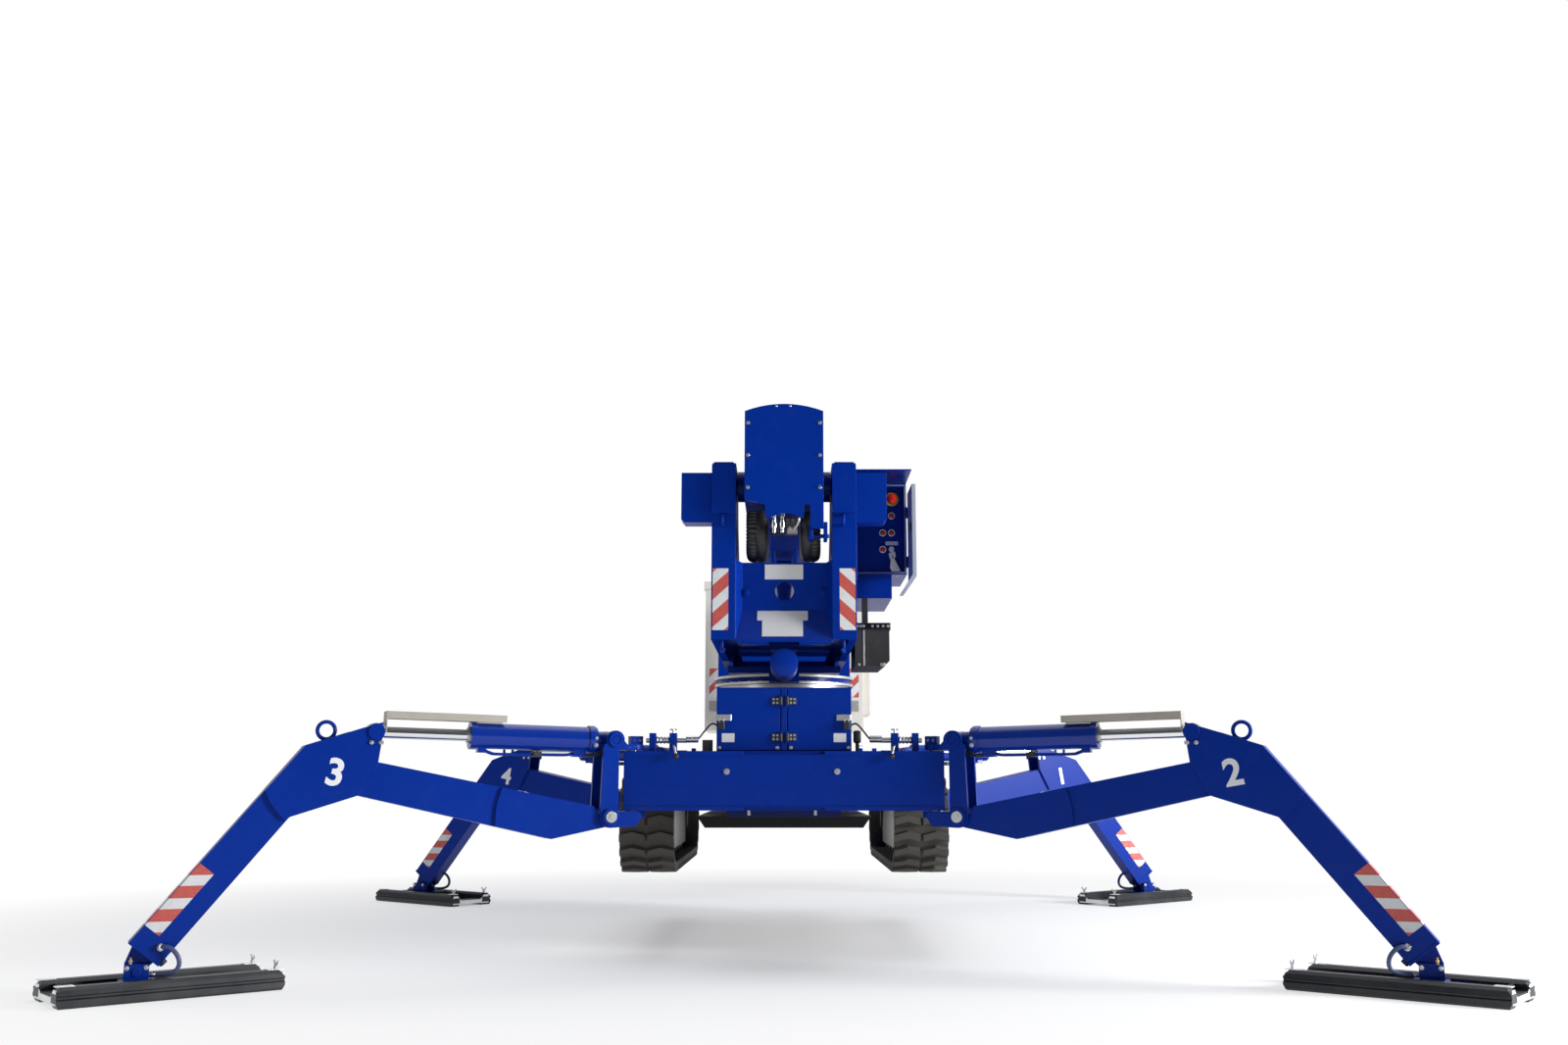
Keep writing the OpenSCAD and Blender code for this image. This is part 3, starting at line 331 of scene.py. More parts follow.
@dataclass(frozen=True)
class GuardedRod(Finish):
    """Chrome close to a rod's axis and dull zinc-plated sheet beyond it, for a rod in one piece with its guard."""

    start: tuple = (0.0, 0.0, 0.0)
    along: tuple = (1.0, 0.0, 0.0)
    reach: float = 0.0275
    chrome: tuple = (0.80, 0.81, 0.82)
    sheet: tuple = (0.46, 0.43, 0.38)

    def build(self, surface: Surface) -> bpy.types.Material:
        """Build both metals and choose by the distance from the axis."""
        arm = surface.add("ShaderNodeVectorMath", {"operation": "SUBTRACT"}, {0: surface.place(), 1: self.start})
        off = surface.add("ShaderNodeVectorMath", {"operation": "CROSS_PRODUCT"}, {0: arm, 1: self.along})
        bare = surface.add("ShaderNodeVectorMath", {"operation": "LENGTH"}, {0: off}, "Value") < self.reach
        cloud, grit = surface.noise(11, 4, 0.6), surface.noise(200, 3, 0.7)
        dull = surface.blend((cloud - 0.4).clamped() * 1.2, self.sheet, (0.30, 0.28, 0.25))
        base = surface.blend(bare, dull, self.chrome)
        rough = (0.52 + (cloud - 0.5) * 0.3 - bare * 0.42 + (grit - 0.5) * 0.08).clamped()
        return surface.close(base_color=base, roughness=rough, metallic=0.45 + bare * 0.55,
                             normal=surface.bump(grit, 0.00003, surface.rounded(0.0012)))


@dataclass(frozen=True)
class Metal(Finish):
    """Bare or plated metal with fine scratches and dull patches."""

    colour: tuple = (0.60, 0.61, 0.62)
    rough: float = 0.32
    grain: tuple = (1, 1, 1)
    tarnish: tuple = (0.30, 0.29, 0.27)
    patchy: float = 0.35

    def build(self, surface: Surface) -> bpy.types.Material:
        """Build the metal."""
        cloud, grit = surface.noise(9, 4, 0.6), surface.noise(160, 3, 0.7, self.grain)
        patch = ((cloud - 0.45) * 3).clamped() * self.patchy
        base = surface.blend(patch, self.colour, self.tarnish)
        rough = (self.rough + patch * 0.25 + (grit - 0.5) * 0.16).clamped()
        return surface.close(base_color=base, roughness=rough, metallic=1.0,
                             normal=surface.bump(grit, 0.00005, surface.rounded(0.0012)))


@dataclass(frozen=True)
class Moulded(Finish):
    """Rubber, plastic or laminate: one colour with a grained skin and patches of dust."""

    colour: tuple = (0.012, 0.012, 0.013)
    rough: float = 0.55
    grain: float = 900
    depth: float = 0.00008
    dust: tuple = (0.16, 0.15, 0.13)
    dusty: float = 0.25
    round_to: float = 0.0015

    def build(self, surface: Surface) -> bpy.types.Material:
        """Build the moulded skin."""
        cloud, skin = surface.noise(5, 5, 0.65), surface.noise(self.grain, 2)
        film = ((cloud - 0.42) * 2.2).clamped() * self.dusty
        base = surface.blend(film, self.colour, self.dust)
        rough = (self.rough + film * 0.5 + (skin - 0.5) * 0.12).clamped()
        return surface.close(base_color=base, roughness=rough,
                             normal=surface.bump(skin, self.depth, surface.rounded(self.round_to)))


@dataclass(frozen=True)
class Stripes(Finish):
    """Red and white warning sheeting with a fine cell pattern, drawn on the plate's own coordinates."""

    slope: float = 0.0
    period: float = 0.0835
    start: float = 0.4865
    red_share: float = 0.54
    red: tuple = (0.50, 0.022, 0.008)
    white: tuple = (0.66, 0.68, 0.70)

    def build(self, surface: Surface) -> bpy.types.Material:
        """Build the sheeting."""
        spot = surface.add("ShaderNodeUVMap", {"uv_map": "plate"})
        line = (self.start - spot.part("Y") + spot.part("X") * self.slope) / self.period + 8
        red = line.fraction() < self.red_share
        cell = surface.add("ShaderNodeTexVoronoi", {"feature": "DISTANCE_TO_EDGE"}, {"Vector": spot, "Scale": 260.0})
        rim = (1 - cell * 6).clamped() * 0.22
        cloud = surface.noise(22, 4, 0.6)
        base = surface.blend(rim, surface.blend(red, self.white, self.red), (0.75, 0.74, 0.72))
        base = surface.blend((cloud - 0.52).clamped(), base, (0.2, 0.2, 0.19))
        return surface.close(base_color=base, roughness=0.32 + cloud * 0.12, normal=surface.bump(cell, 0.00004))


BLUE = Paint("blue_paint", "blue_paint")
BLUE_TUBE = Paint("blue_tube_paint", "blue_paint", coat=0.6, rough=0.24)
PALE_INNER_BLUE = LinedPaint("lined_blue_paint", "blue_paint")
NIGHT_BLUE = Paint("dark_blue_paint", "dark_paint", colour=(0.002, 0.010, 0.09), rough=0.36, dust=0.08, coat=0.2)
# The black paint's lighter edges are rubbed wear together with a painted highlight.
BLACK = Paint("black_paint", "black_paint", colour=(0.008, 0.008, 0.009), worn=(0.10, 0.10, 0.10), rough=0.42, coat=0.2)
ZINC = Metal("zinc_plate", "steel")
CHROME = Metal("chrome_plate", "chrome_rod", colour=(0.80, 0.81, 0.82), rough=0.09, grain=(9, 9, 1), patchy=0.12)
GALVANISED = Metal("galvanised_sheet", "steel", colour=(0.62, 0.60, 0.56), rough=0.42, patchy=0.5)
BRASS = Metal("brass", "steel", colour=(0.70, 0.50, 0.20), rough=0.3, tarnish=(0.3, 0.2, 0.1))
ALUMINIUM = Metal("aluminium_casting", "steel", colour=(0.82, 0.83, 0.84), rough=0.38, patchy=0.2)
RUBBER = Moulded("track_rubber", "track_rubber", colour=(0.055, 0.050, 0.043), rough=0.78, grain=300, depth=0.0003,
                 dusty=0.75, dust=(0.105, 0.094, 0.08), round_to=0.004)
PAD_RAIL = Moulded("pad_rail_skin", "pad_rail", colour=(0.009, 0.011, 0.016), rough=0.40, dusty=0.22, round_to=0.003)
PLASTIC = Moulded("black_plastic", "black_plastic")
HOSE = Moulded("hose_rubber", "black_plastic", colour=(0.014, 0.014, 0.016), rough=0.5, grain=600, depth=0.0002)
BLUE_HOSE = Moulded("blue_grey_hose", "black_plastic", colour=(0.045, 0.07, 0.19), rough=0.38, dusty=0.2)
LAMINATE = Moulded("fibreglass_shell", "fibreglass", colour=(0.66, 0.64, 0.58), rough=0.4, grain=120, depth=0.00015,
                   dust=(0.40, 0.38, 0.33), dusty=0.3, round_to=0.006)
LABEL = Moulded("blank_label", colour=(0.70, 0.71, 0.72), rough=0.4, dusty=0.12, dust=(0.4, 0.4, 0.38), round_to=0.0004)
NUMBER = Moulded("number_vinyl", colour=(0.76, 0.77, 0.79), rough=0.35, dusty=0.1, dust=(0.4, 0.4, 0.4), round_to=0.0004)
RED = Moulded("red_knob", colour=(0.62, 0.018, 0.008), rough=0.22, dusty=0.05)
RED_LENS = Moulded("red_lens", colour=(0.70, 0.03, 0.012), rough=0.12, dusty=0.0)
YELLOW = Moulded("yellow_ring", colour=(0.80, 0.52, 0.01), rough=0.35, dusty=0.06)
GREY_SEAL = Moulded("grey_seal", colour=(0.17, 0.18, 0.20), rough=0.6)
LEG_STRIPES = Stripes("leg_stripes")
BASKET_STRIPES = Stripes("basket_stripes", slope=1.0, period=0.13, start=1.42, red_share=0.45)
LEFT_STRIPES = Stripes("post_stripes_left", slope=0.9, period=0.122, start=1.9296, red_share=0.53)
RIGHT_STRIPES = Stripes("post_stripes_right", slope=-0.9, period=0.122, start=1.9296, red_share=0.53)


class Shape:
    """The faces of one piece, gathered in the millimetres of a placing."""

    def __init__(self, placing: Matrix = CHASSIS) -> None:
        """Start with no faces."""
        self.placing = placing
        self.faces = bmesh.new()
        self.uv = self.faces.loops.layers.uv.new("plate")

    def plate(self, outline: Outline, plane: Plane, low: float, high: float) -> "Shape":
        """Add an outline made thick.

        Args:
            outline: Corners in the plane's two axes.
            plane: The plane that it is drawn in.
            low: Where the thickness starts.
            high: Where it ends.

        Returns:
            This shape, for the next call.
        """
        first, second, thick = plane.value
        rings = []
        for depth in (low, high):
            ring = []
            for a, b in outline:
                spot = [0.0, 0.0, 0.0]
                spot[first], spot[second], spot[thick] = a, b, depth
                ring.append(self.faces.verts.new(spot))
            rings.append(ring)
        count = len(outline)
        made = [self.faces.faces.new(ring) for ring in rings]
        for k in range(count):
            n = (k + 1) % count
            made.append(self.faces.faces.new((rings[0][k], rings[0][n], rings[1][n], rings[1][k])))
        for face in made:
            for loop in face.loops:
                loop[self.uv].uv = (loop.vert.co[first] * MM, loop.vert.co[second] * MM)
        return self

    def block(self, low: Point, high: Point, chamfer: float = 0.0) -> "Shape":
        """Add a box between two corners, with its upright edges chamfered if asked."""
        (x0, y0, z0), (x1, y1, z1), c = low, high, chamfer
        if c:
            outline = [(x0 + c, y0), (x1 - c, y0), (x1, y0 + c), (x1, y1 - c),
                       (x1 - c, y1), (x0 + c, y1), (x0, y1 - c), (x0, y0 + c)]
        else:
            outline = [(x0, y0), (x1, y0), (x1, y1), (x0, y1)]
        return self.plate(outline, Plane.FLAT, z0, z1)

    def lathe(self, profile: Outline, start: Point, direction: Point, sides: int = 24) -> "Shape":
        """Turn a profile about an axis.

        Args:
            profile: Radius and distance along the axis of each ring, from one end to the other.
            start: Where the axis starts.
            direction: Which way it runs.
            sides: Faces round it.

        Returns:
            This shape, for the next call.
        """
        turn = Vector(direction).normalized().to_track_quat("Z", "Y").to_matrix()
        origin = Vector(start)
        rings = []
        for radius, height in profile:
            angles = [2 * math.pi * k / sides for k in range(sides)] if radius > 0 else [0.0]
            rings.append([self.faces.verts.new(origin + turn @ Vector((radius * math.cos(a), radius * math.sin(a), height)))
                          for a in angles])
        for lower, upper in zip(rings, rings[1:]):
            for k in range(sides):
                n = (k + 1) % sides
                corners = [lower[k % len(lower)], lower[n % len(lower)], upper[n % len(upper)], upper[k % len(upper)]]
                unique = list(dict.fromkeys(corners))
                if len(unique) > 2:
                    self.faces.faces.new(unique)
        for ring in (rings[0], rings[-1]):
            if len(ring) > 2:
                self.faces.faces.new(ring)
        return self

    def rod(self, start: Point, end: Point, radius: float, sides: int = 24, chamfer: float = 0.0) -> "Shape":
        """Add a round bar between two points, with chamfered ends if asked."""
        length = (Vector(end) - Vector(start)).length
        c = chamfer
        profile = [(radius - c, 0), (radius, c), (radius, length - c), (radius - c, length)] if c else [(radius, 0), (radius, length)]
        return self.lathe(profile, start, Vector(end) - Vector(start), sides)

    def pipe(self, start: Point, end: Point, outer: float, inner: float, sides: int = 32) -> "Shape":
        """Add a ring or sleeve between two points."""
        length = (Vector(end) - Vector(start)).length
        turn = (Vector(end) - Vector(start)).normalized().to_track_quat("Z", "Y").to_matrix()
        rings = []
        for radius, height in ((outer, 0), (outer, length), (inner, length), (inner, 0)):
            rings.append([self.faces.verts.new(Vector(start) + turn @ Vector((
                radius * math.cos(2 * math.pi * k / sides), radius * math.sin(2 * math.pi * k / sides), height)))
                for k in range(sides)])
        for k in range(sides):
            n = (k + 1) % sides
            for lower, upper in zip(rings, rings[1:] + rings[:1]):
                self.faces.faces.new((lower[k], lower[n], upper[n], upper[k]))
        return self

    def ball(self, centre: Point, radius: float, sides: int = 16) -> "Shape":
        """Add a ball."""
        steps = 8
        profile = [(radius * math.sin(math.pi * k / steps) if 0 < k < steps else 0.0, -radius * math.cos(math.pi * k / steps))
                   for k in range(steps + 1)]
        return self.lathe(profile, centre, (0, 0, 1), sides)

    def done(self, name: str, finish: Finish, body: str, bevel: float = 0.0) -> bpy.types.Object:
        """Make the piece and put it on its body.

        Args:
            name: The piece's name.
            finish: Its finish.
            body: The CAD body that it rides on.
            bevel: Width of its rounded edges in metres.

        Returns:
            The new object.
        """
        self.faces.transform(self.placing)
        bmesh.ops.recalc_face_normals(self.faces, faces=self.faces.faces)
        mesh = bpy.data.meshes.new(name)
        self.faces.to_mesh(mesh)
        self.faces.free()
        return settle(mesh, name, finish, body, bevel)


def settle(mesh: bpy.types.Mesh, name: str, finish: Finish, body: str, bevel: float = 0.0) -> bpy.types.Object:
    """Make an object of a mesh in its place, finish it and let it ride on its body."""
    mesh.polygons.foreach_set("use_smooth", [True] * len(mesh.polygons))
    mesh.set_sharp_from_angle(angle=math.radians(32))
    piece = bpy.data.objects.new(name, mesh)
    bpy.context.scene.collection.objects.link(piece)
    mesh.materials.clear()
    mesh.materials.append(finish.material())
    if bevel:
        edge = piece.modifiers.new("edges", "BEVEL")
        edge.width, edge.segments, edge.limit_method, edge.angle_limit = bevel, 2, "ANGLE", math.radians(40)
    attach(piece, body)
    return piece


class GeometryTree(Network):
    """A Geometry Nodes tree with named inputs, used as a modifier and then made plain."""

    def __init__(self, name: str) -> None:
        """Make the empty tree."""
        super().__init__(bpy.data.node_groups.new(name, "GeometryNodeTree"))
        self.tree.interface.new_socket("Geometry", in_out="INPUT", socket_type="NodeSocketGeometry")
        self.tree.interface.new_socket("Geometry", in_out="OUTPUT", socket_type="NodeSocketGeometry")
        self.sockets: dict[str, str] = {}

    def given(self, name: str, kind: str = "Float") -> Signal:
        """Add a named input and give its signal."""
        socket = self.tree.interface.new_socket(name, in_out="INPUT", socket_type=f"NodeSocket{kind}")
        self.sockets[name] = socket.identifier
        return self.add("NodeGroupInput", out=name)

    def stored(self, name: str, kind: str) -> Signal:
        """An attribute that the carrier's points hold."""
        return self.add("GeometryNodeInputNamedAttribute", {"data_type": kind}, {"Name": name})

    def close(self, geometry: Signal) -> None:
        """End in Realize Instances and Set Material."""
        finish = self.given("Finish", "Material")
        real = self.add("GeometryNodeRealizeInstances", None, {0: geometry})
        dressed = self.add("GeometryNodeSetMaterial", None, {"Geometry": real, "Material": finish})
        self.add("NodeGroupOutput", None, {0: dressed})

    def grow(self, carrier: bpy.types.Object, values: dict[str, float], finish: Finish) -> bpy.types.Mesh:
        """Run the tree on a carrier.

        Args:
            carrier: The object whose points or lines the tree reads, which is removed.
            values: The tree's inputs by name.
            finish: The finish of the result.

        Returns:
            The plain mesh.
        """
        modifier = carrier.modifiers.new(self.tree.name, "NODES")
        modifier.node_group = self.tree
        for name, value in {**values, "Finish": finish.material()}.items():
            modifier[self.sockets[name]] = value
        view = bpy.context.evaluated_depsgraph_get()
        mesh = bpy.data.meshes.new_from_object(carrier.evaluated_get(view), depsgraph=view)
        bpy.data.objects.remove(carrier)
        return mesh


class Head(Enum):
    """The heads that a fastener can have."""

    HEX = 6
    ROUND = 16


class Fasteners:
    """All the screws of the machine, set by one tree on the points that are put here."""

    def __init__(self) -> None:
        """Start with no screws and one tree."""
        self.spots: dict[tuple[str, Finish, Head], list[tuple[Vector, Vector, float]]] = {}
        tree = GeometryTree("screw_heads")
        sides, high, collar = tree.given("Sides", "Int"), tree.given("Height"), tree.given("Washer")
        head = tree.add("GeometryNodeMeshCone", None, {"Vertices": sides, "Radius Top": 0.82, "Radius Bottom": 1.0,
                                                        "Depth": 0.22})
        lift = tree.add("ShaderNodeCombineXYZ", None, {"Z": high + 0.12})
        cap = tree.add("GeometryNodeTransform", None, {"Geometry": head, "Translation": lift})
        shank = tree.add("GeometryNodeMeshCylinder", None, {"Vertices": sides, "Radius": 1.0, "Depth": high})
        rise = tree.add("ShaderNodeCombineXYZ", None, {"Z": high / 2 + 0.12})
        trunk = tree.add("GeometryNodeTransform", None, {"Geometry": shank, "Translation": rise})
        disc = tree.add("GeometryNodeMeshCylinder", None, {"Vertices": 16, "Radius": collar, "Depth": 0.24})
        whole = tree.add("GeometryNodeJoinGeometry", None, {0: [cap, trunk, disc]})
        turn = tree.add("FunctionNodeAlignRotationToVector", {"axis": "Z"}, {"Vector": tree.stored("axis", "FLOAT_VECTOR")})
        points = tree.add("NodeGroupInput", out=0)
        tree.close(tree.add("GeometryNodeInstanceOnPoints", None, {
            "Points": points, "Instance": whole, "Rotation": turn, "Scale": tree.stored("size", "FLOAT")}))
        self.tree = tree

    def put(self, body: str, spots: Iterable[Point], axis: Point, size: float, placing: Matrix = CHASSIS,
            finish: Finish = ZINC, head: Head = Head.HEX) -> None:
        """Put screws of one size at some points.

        Args:
            body: The CAD body that they ride on.
            spots: Their seats in millimetres.
            axis: The way that their heads point.
            size: The radius of a head in millimetres.
            placing: The placing of the millimetres.
            finish: Their finish.
            head: The form of their heads.
        """
        way = (placing.to_3x3() @ Vector(axis)).normalized()
        group = self.spots.setdefault((body, finish, head), [])
        group.extend((placing @ Vector(spot), way, size * MM) for spot in spots)

    def build(self) -> int:
        """Make one mesh for each body and finish, and give the number of screws."""
        total = 0
        for (body, finish, head), group in self.spots.items():
            mesh = bpy.data.meshes.new("screw_points")
            mesh.from_pydata([tuple(spot) for spot, _, _ in group], [], [])
            mesh.attributes.new("axis", "FLOAT_VECTOR", "POINT").data.foreach_set(
                "vector", [c for _, way, _ in group for c in way])
            mesh.attributes.new("size", "FLOAT", "POINT").data.foreach_set("value", [size for _, _, size in group])
            carrier = bpy.data.objects.new("screw_points", mesh)
            bpy.context.scene.collection.objects.link(carrier)
            made = self.tree.grow(carrier, {"Sides": head.value, "Height": 0.55, "Washer": 1.45}, finish)
            settle(made, f"screws_{head.name.lower()}_{finish.name}_{body}", finish, body)
            total += len(group)
        return total


class Hoses:
    """All the hoses, pipes, cables and weld beads, swept by one tree along the lines that are run here."""

    def __init__(self) -> None:
        """Start with no lines and one tree."""
        self.lines: dict[tuple[str, Finish, float], list[tuple[list[Vector], float]]] = {}
        tree = GeometryTree("hose_sweep")
        step, rib, pitch, sides = tree.given("Step"), tree.given("Rib"), tree.given("Pitch"), tree.given("Sides", "Int")
        points = tree.add("NodeGroupInput", out=0)
        line = tree.add("GeometryNodeMeshToCurve", None, {"Mesh": points})
        smooth = tree.add("GeometryNodeCurveSplineType", {"spline_type": "CATMULL_ROM"}, {"Curve": line})
        even = tree.add("GeometryNodeResampleCurve", {"mode": "LENGTH"}, {"Curve": smooth, "Length": step})
        along = tree.add("GeometryNodeSplineParameter", out="Length")
        wave = along.maths("SINE", along * (2 * math.pi) / pitch) * rib + 1
        bore = tree.stored("bore", "FLOAT") * wave
        ring = tree.add("GeometryNodeCurvePrimitiveCircle", None, {"Resolution": sides, "Radius": 1.0})
        tube = tree.add("GeometryNodeCurveToMesh", None, {"Curve": even, "Profile Curve": ring, "Scale": bore,
                                                           "Fill Caps": True})
        tree.close(tube)
        self.tree = tree

    def run(self, body: str, points: Sequence[Point], radius: float, placing: Matrix = CHASSIS,
            finish: Finish = HOSE, rib: float = 0.0) -> None:
        """Run one hose through points.

        Args:
            body: The CAD body that it rides on.
            points: Its route in millimetres.
            radius: Its radius in millimetres.
            placing: The placing of the millimetres.
            finish: Its finish.
            rib: Share of the radius by which it is ribbed.
        """
        route = [placing @ Vector(point) for point in points]
        self.lines.setdefault((body, finish, rib), []).append((route, radius * MM))

    def build(self) -> int:
        """Make one mesh for each body and finish, and give the number of lines."""
        total = 0
        for (body, finish, rib), group in self.lines.items():
            spots, edges, bores = [], [], []
            for route, radius in group:
                edges += [(len(spots) + k, len(spots) + k + 1) for k in range(len(route) - 1)]
                spots += [tuple(point) for point in route]
                bores += [radius] * len(route)
            mesh = bpy.data.meshes.new("hose_lines")
            mesh.from_pydata(spots, edges, [])
            mesh.attributes.new("bore", "FLOAT", "POINT").data.foreach_set("value", bores)
            carrier = bpy.data.objects.new("hose_lines", mesh)
            bpy.context.scene.collection.objects.link(carrier)
            ribbed = "ribbed_" if rib else ""
            values = {"Step": 0.004 if rib else 0.012, "Rib": rib, "Pitch": 0.016, "Sides": 14}
            made = self.tree.grow(carrier, values, finish)
            settle(made, f"lines_{ribbed}{finish.name}_{body}", finish, body)
            total += len(group)
        return total


@dataclass
class Machine:
    """What the sub-assemblies share: the screws and the hoses."""

    screws: Fasteners = field(default_factory=Fasteners)
    hoses: Hoses = field(default_factory=Hoses)


def arc(centre: Point, radius: float, start: float, end: float, count: int) -> list[tuple[float, float]]:
    """Points on an arc of a plane, from one angle to another in degrees."""
    angles = [math.radians(start + (end - start) * k / (count - 1)) for k in range(count)]
    return [(centre[0] + radius * math.cos(a), centre[1] + radius * math.sin(a)) for a in angles]


@dataclass
class NodeDress:
    """The finish of every CAD node that stays in view."""

    finishes: dict[Finish, str] = field(default_factory=lambda: {
        NIGHT_BLUE: "chassis_frame",
        BLUE: "rear_crossbeam front_crossbeam pedestal rear_cabinet rear_door_left rear_door_right power_pack_hood "
              "swing_locks turret_frame slew_motor control_cabinet pivot_covers boom_base boom_end_cover "
              "levelling_head jib basket_bracket",
        PALE_INNER_BLUE: "control_door",
        BLUE_TUBE: "boom_section_2 boom_section_3 boom_section_4 lift_cylinder_barrel",
        BLACK: "belly_pan engine_block axle_beams track_frame_left track_frame_right",
        RUBBER: "track_left track_right",
        ZINC: "swing_pins slewing_ring_lower",
        CHROME: "lift_cylinder_rod",
        LAMINATE: "basket",
        PLASTIC: "battery_box basket_controls",
    })

    def build(self) -> int:
        """Give each node its material, and return how many were dressed."""
        chosen = {node: finish for finish, names in self.finishes.items() for node in names.split()}
        for leg in Leg:
            chosen[f"swing_bracket_{leg.code}"] = BLUE
            chosen[f"leg_{leg.code}"] = BLUE
            chosen[f"leg_cylinder_{leg.code}"] = BLUE_TUBE
            chosen[f"foot_block_{leg.code}"] = BLUE
            start = tuple(JOINTS[f"leg_barrel_turn_{leg.code}"]["pos_m"])
            along = tuple(JOINTS[f"leg_rod_slide_{leg.code}"]["axis"])
            chosen[f"leg_rod_{leg.code}"] = GuardedRod(f"guarded_rod_{leg.code}", "chrome_rod", start, along)
            chosen[f"pad_{leg.code}"] = PAD_RAIL
        for node, finish in chosen.items():
            materials = frame["nodes"][node].data.materials
            materials.clear()
            materials.append(finish.material())
        return len(chosen)


@dataclass
class LegFittings:
    """Markings, hose loop, pin caps, clamps, pipes and pad ends of one leg, in the leg's own millimetres."""

    leg: Leg
    machine: Machine
    shin_angle: float = 51.2
    edge_foot: tuple[float, float] = (1948.9, 200.0)
    face: float = 50.0
    number_at: tuple[float, float] = (1243.0, 822.0)
    number_size: float = 146.0
    arm_slope: float = 10.1
    foot_u: float = 1925.0
    pad_turn: float = 16.7
    pad_half: float = 410.0
    pad_half_w: float = 160.0
    pad_shift: float = 110.0
    base_pin: tuple[float, float] = (97.0, 966.0)
    rod_pin: tuple[float, float] = (1090.0, 988.0)
    barrel_len: float = 608.2

    def __post_init__(self) -> None:
        """Work out the placings and the bodies."""
        self.place = self.leg.placing()
        self.body = f"outrigger_{self.leg.code}"
        self.barrel = f"leg_barrel_{self.leg.code}"
        self.bracket = f"bracket_{self.leg.code}"
        turn = Matrix.Rotation(math.radians(-self.pad_turn), 4, "Z")
        shift = Matrix.Translation((-self.pad_shift, 0, 0))
        self.pad_place = self.place @ Matrix.Translation((self.foot_u, 0, 0)) @ turn @ shift

    def shin(self, z: float, inward: float) -> tuple[float, float]:
        """A point on the shin, at a height of its outer edge and a distance in from that edge."""
        a = math.radians(self.shin_angle)
        u = self.edge_foot[0] - (z - self.edge_foot[1]) * math.cos(a) / math.sin(a)
        return u - inward * math.sin(a), z - inward * math.cos(a)

    def stripes(self) -> None:
        """Warning sheeting on both flanks and the outer face of the shin."""
        top, low, wide = 486.0, 265.0, 68.0
        band = [self.shin(top, 2), self.shin(low, 2), self.shin(low, wide), self.shin(top, wide)]
        shape = Shape(self.place)
        for side in (-1, 1):
            inner, outer = side * self.face, side * (self.face + 0.7)
            shape.plate(band, Plane.UPRIGHT, min(inner, outer), max(inner, outer))
        skin = [self.shin(top, -0.7), self.shin(low, -0.7), self.shin(low, 0), self.shin(top, 0)]
        shape.plate(skin, Plane.UPRIGHT, -self.face + 3, self.face - 3)
        shape.done(f"leg_stripes_{self.leg.code}", LEG_STRIPES, self.body)

    def number(self) -> None:
        """The leg's number on both cheek plates of its knee."""
        for side in (-1, 1):
            text = bpy.data.curves.new("number", "FONT")
            text.body, text.size, text.align_x, text.align_y = self.leg.number, self.number_size, "CENTER", "CENTER"
            text.extrude, text.offset, text.resolution_u = 0.5, 4.0, 6
            glyph = bpy.data.objects.new("number", text)
            bpy.context.scene.collection.objects.link(glyph)
            view = bpy.context.evaluated_depsgraph_get()
            mesh = bpy.data.meshes.new_from_object(glyph.evaluated_get(view), depsgraph=view)
            bpy.data.objects.remove(glyph)
            outward = (self.place.to_3x3() @ Vector((0, side, 0))).normalized()
            right = Vector((0, 0, 1)).cross(outward)
            way = math.copysign(1, right.dot(self.place.to_3x3() @ Vector((1, 0, 0))))
            lean = math.radians(self.arm_slope)
            across = Vector((way * math.cos(lean), 0, way * math.sin(lean)))
            upward = Vector((-math.sin(lean), 0, math.cos(lean)))
            out = Vector((0, side, 0))
            turn = Matrix((across, upward, out)).transposed().to_4x4()
            spot = Matrix.Translation((self.number_at[0], side * 65.4, self.number_at[1]))
            mesh.transform(self.place @ spot @ turn)
            faces = bmesh.new()
            faces.from_mesh(mesh)
            bmesh.ops.remove_doubles(faces, verts=faces.verts, dist=1e-6)
            bmesh.ops.recalc_face_normals(faces, faces=faces.faces)
            faces.to_mesh(mesh)
            faces.free()
            hand = "inner" if side > 0 else "outer"
            settle(mesh, f"leg_number_{hand}_{self.leg.code}", NUMBER, self.body)

    def pins(self) -> None:
        """Caps on the lift, rod and base pins, with their lock plates."""
        caps, discs = Shape(self.place), Shape(self.place)
        for side in (-1, 1):
            caps.rod((114, side * 88, 644), (114, side * 93, 644), 36, 32, 1.5)
            discs.rod((114, side * 93, 644), (114, side * 98, 644), 24, 28, 1.5)
            discs.rod((114, side * 98, 644), (114, side * 102, 644), 10, 6)
            caps.pipe((97, side * 86, 966), (97, side * 90, 966), 31, 19)
            caps.rod((97, side * 86, 966), (97, side * 88, 966), 17, 24, 1)
            caps.rod((1090, side * 70, 988), (1090, side * 73, 988), 33, 32, 1)
            lock = [(1062, 938), (1118, 938), (1118, 952), (1062, 952)]
            caps.plate(lock, Plane.UPRIGHT, min(side * 65, side * 71), max(side * 65, side * 71))
            spots = [(1072, side * 71, 945), (1108, side * 71, 945)]
            self.machine.screws.put(self.body, spots, (0, side, 0), 6, self.place)
        caps.done(f"leg_pin_caps_{self.leg.code}", BLUE, self.body)
        discs.done(f"leg_pin_heads_{self.leg.code}", ZINC, self.bracket)

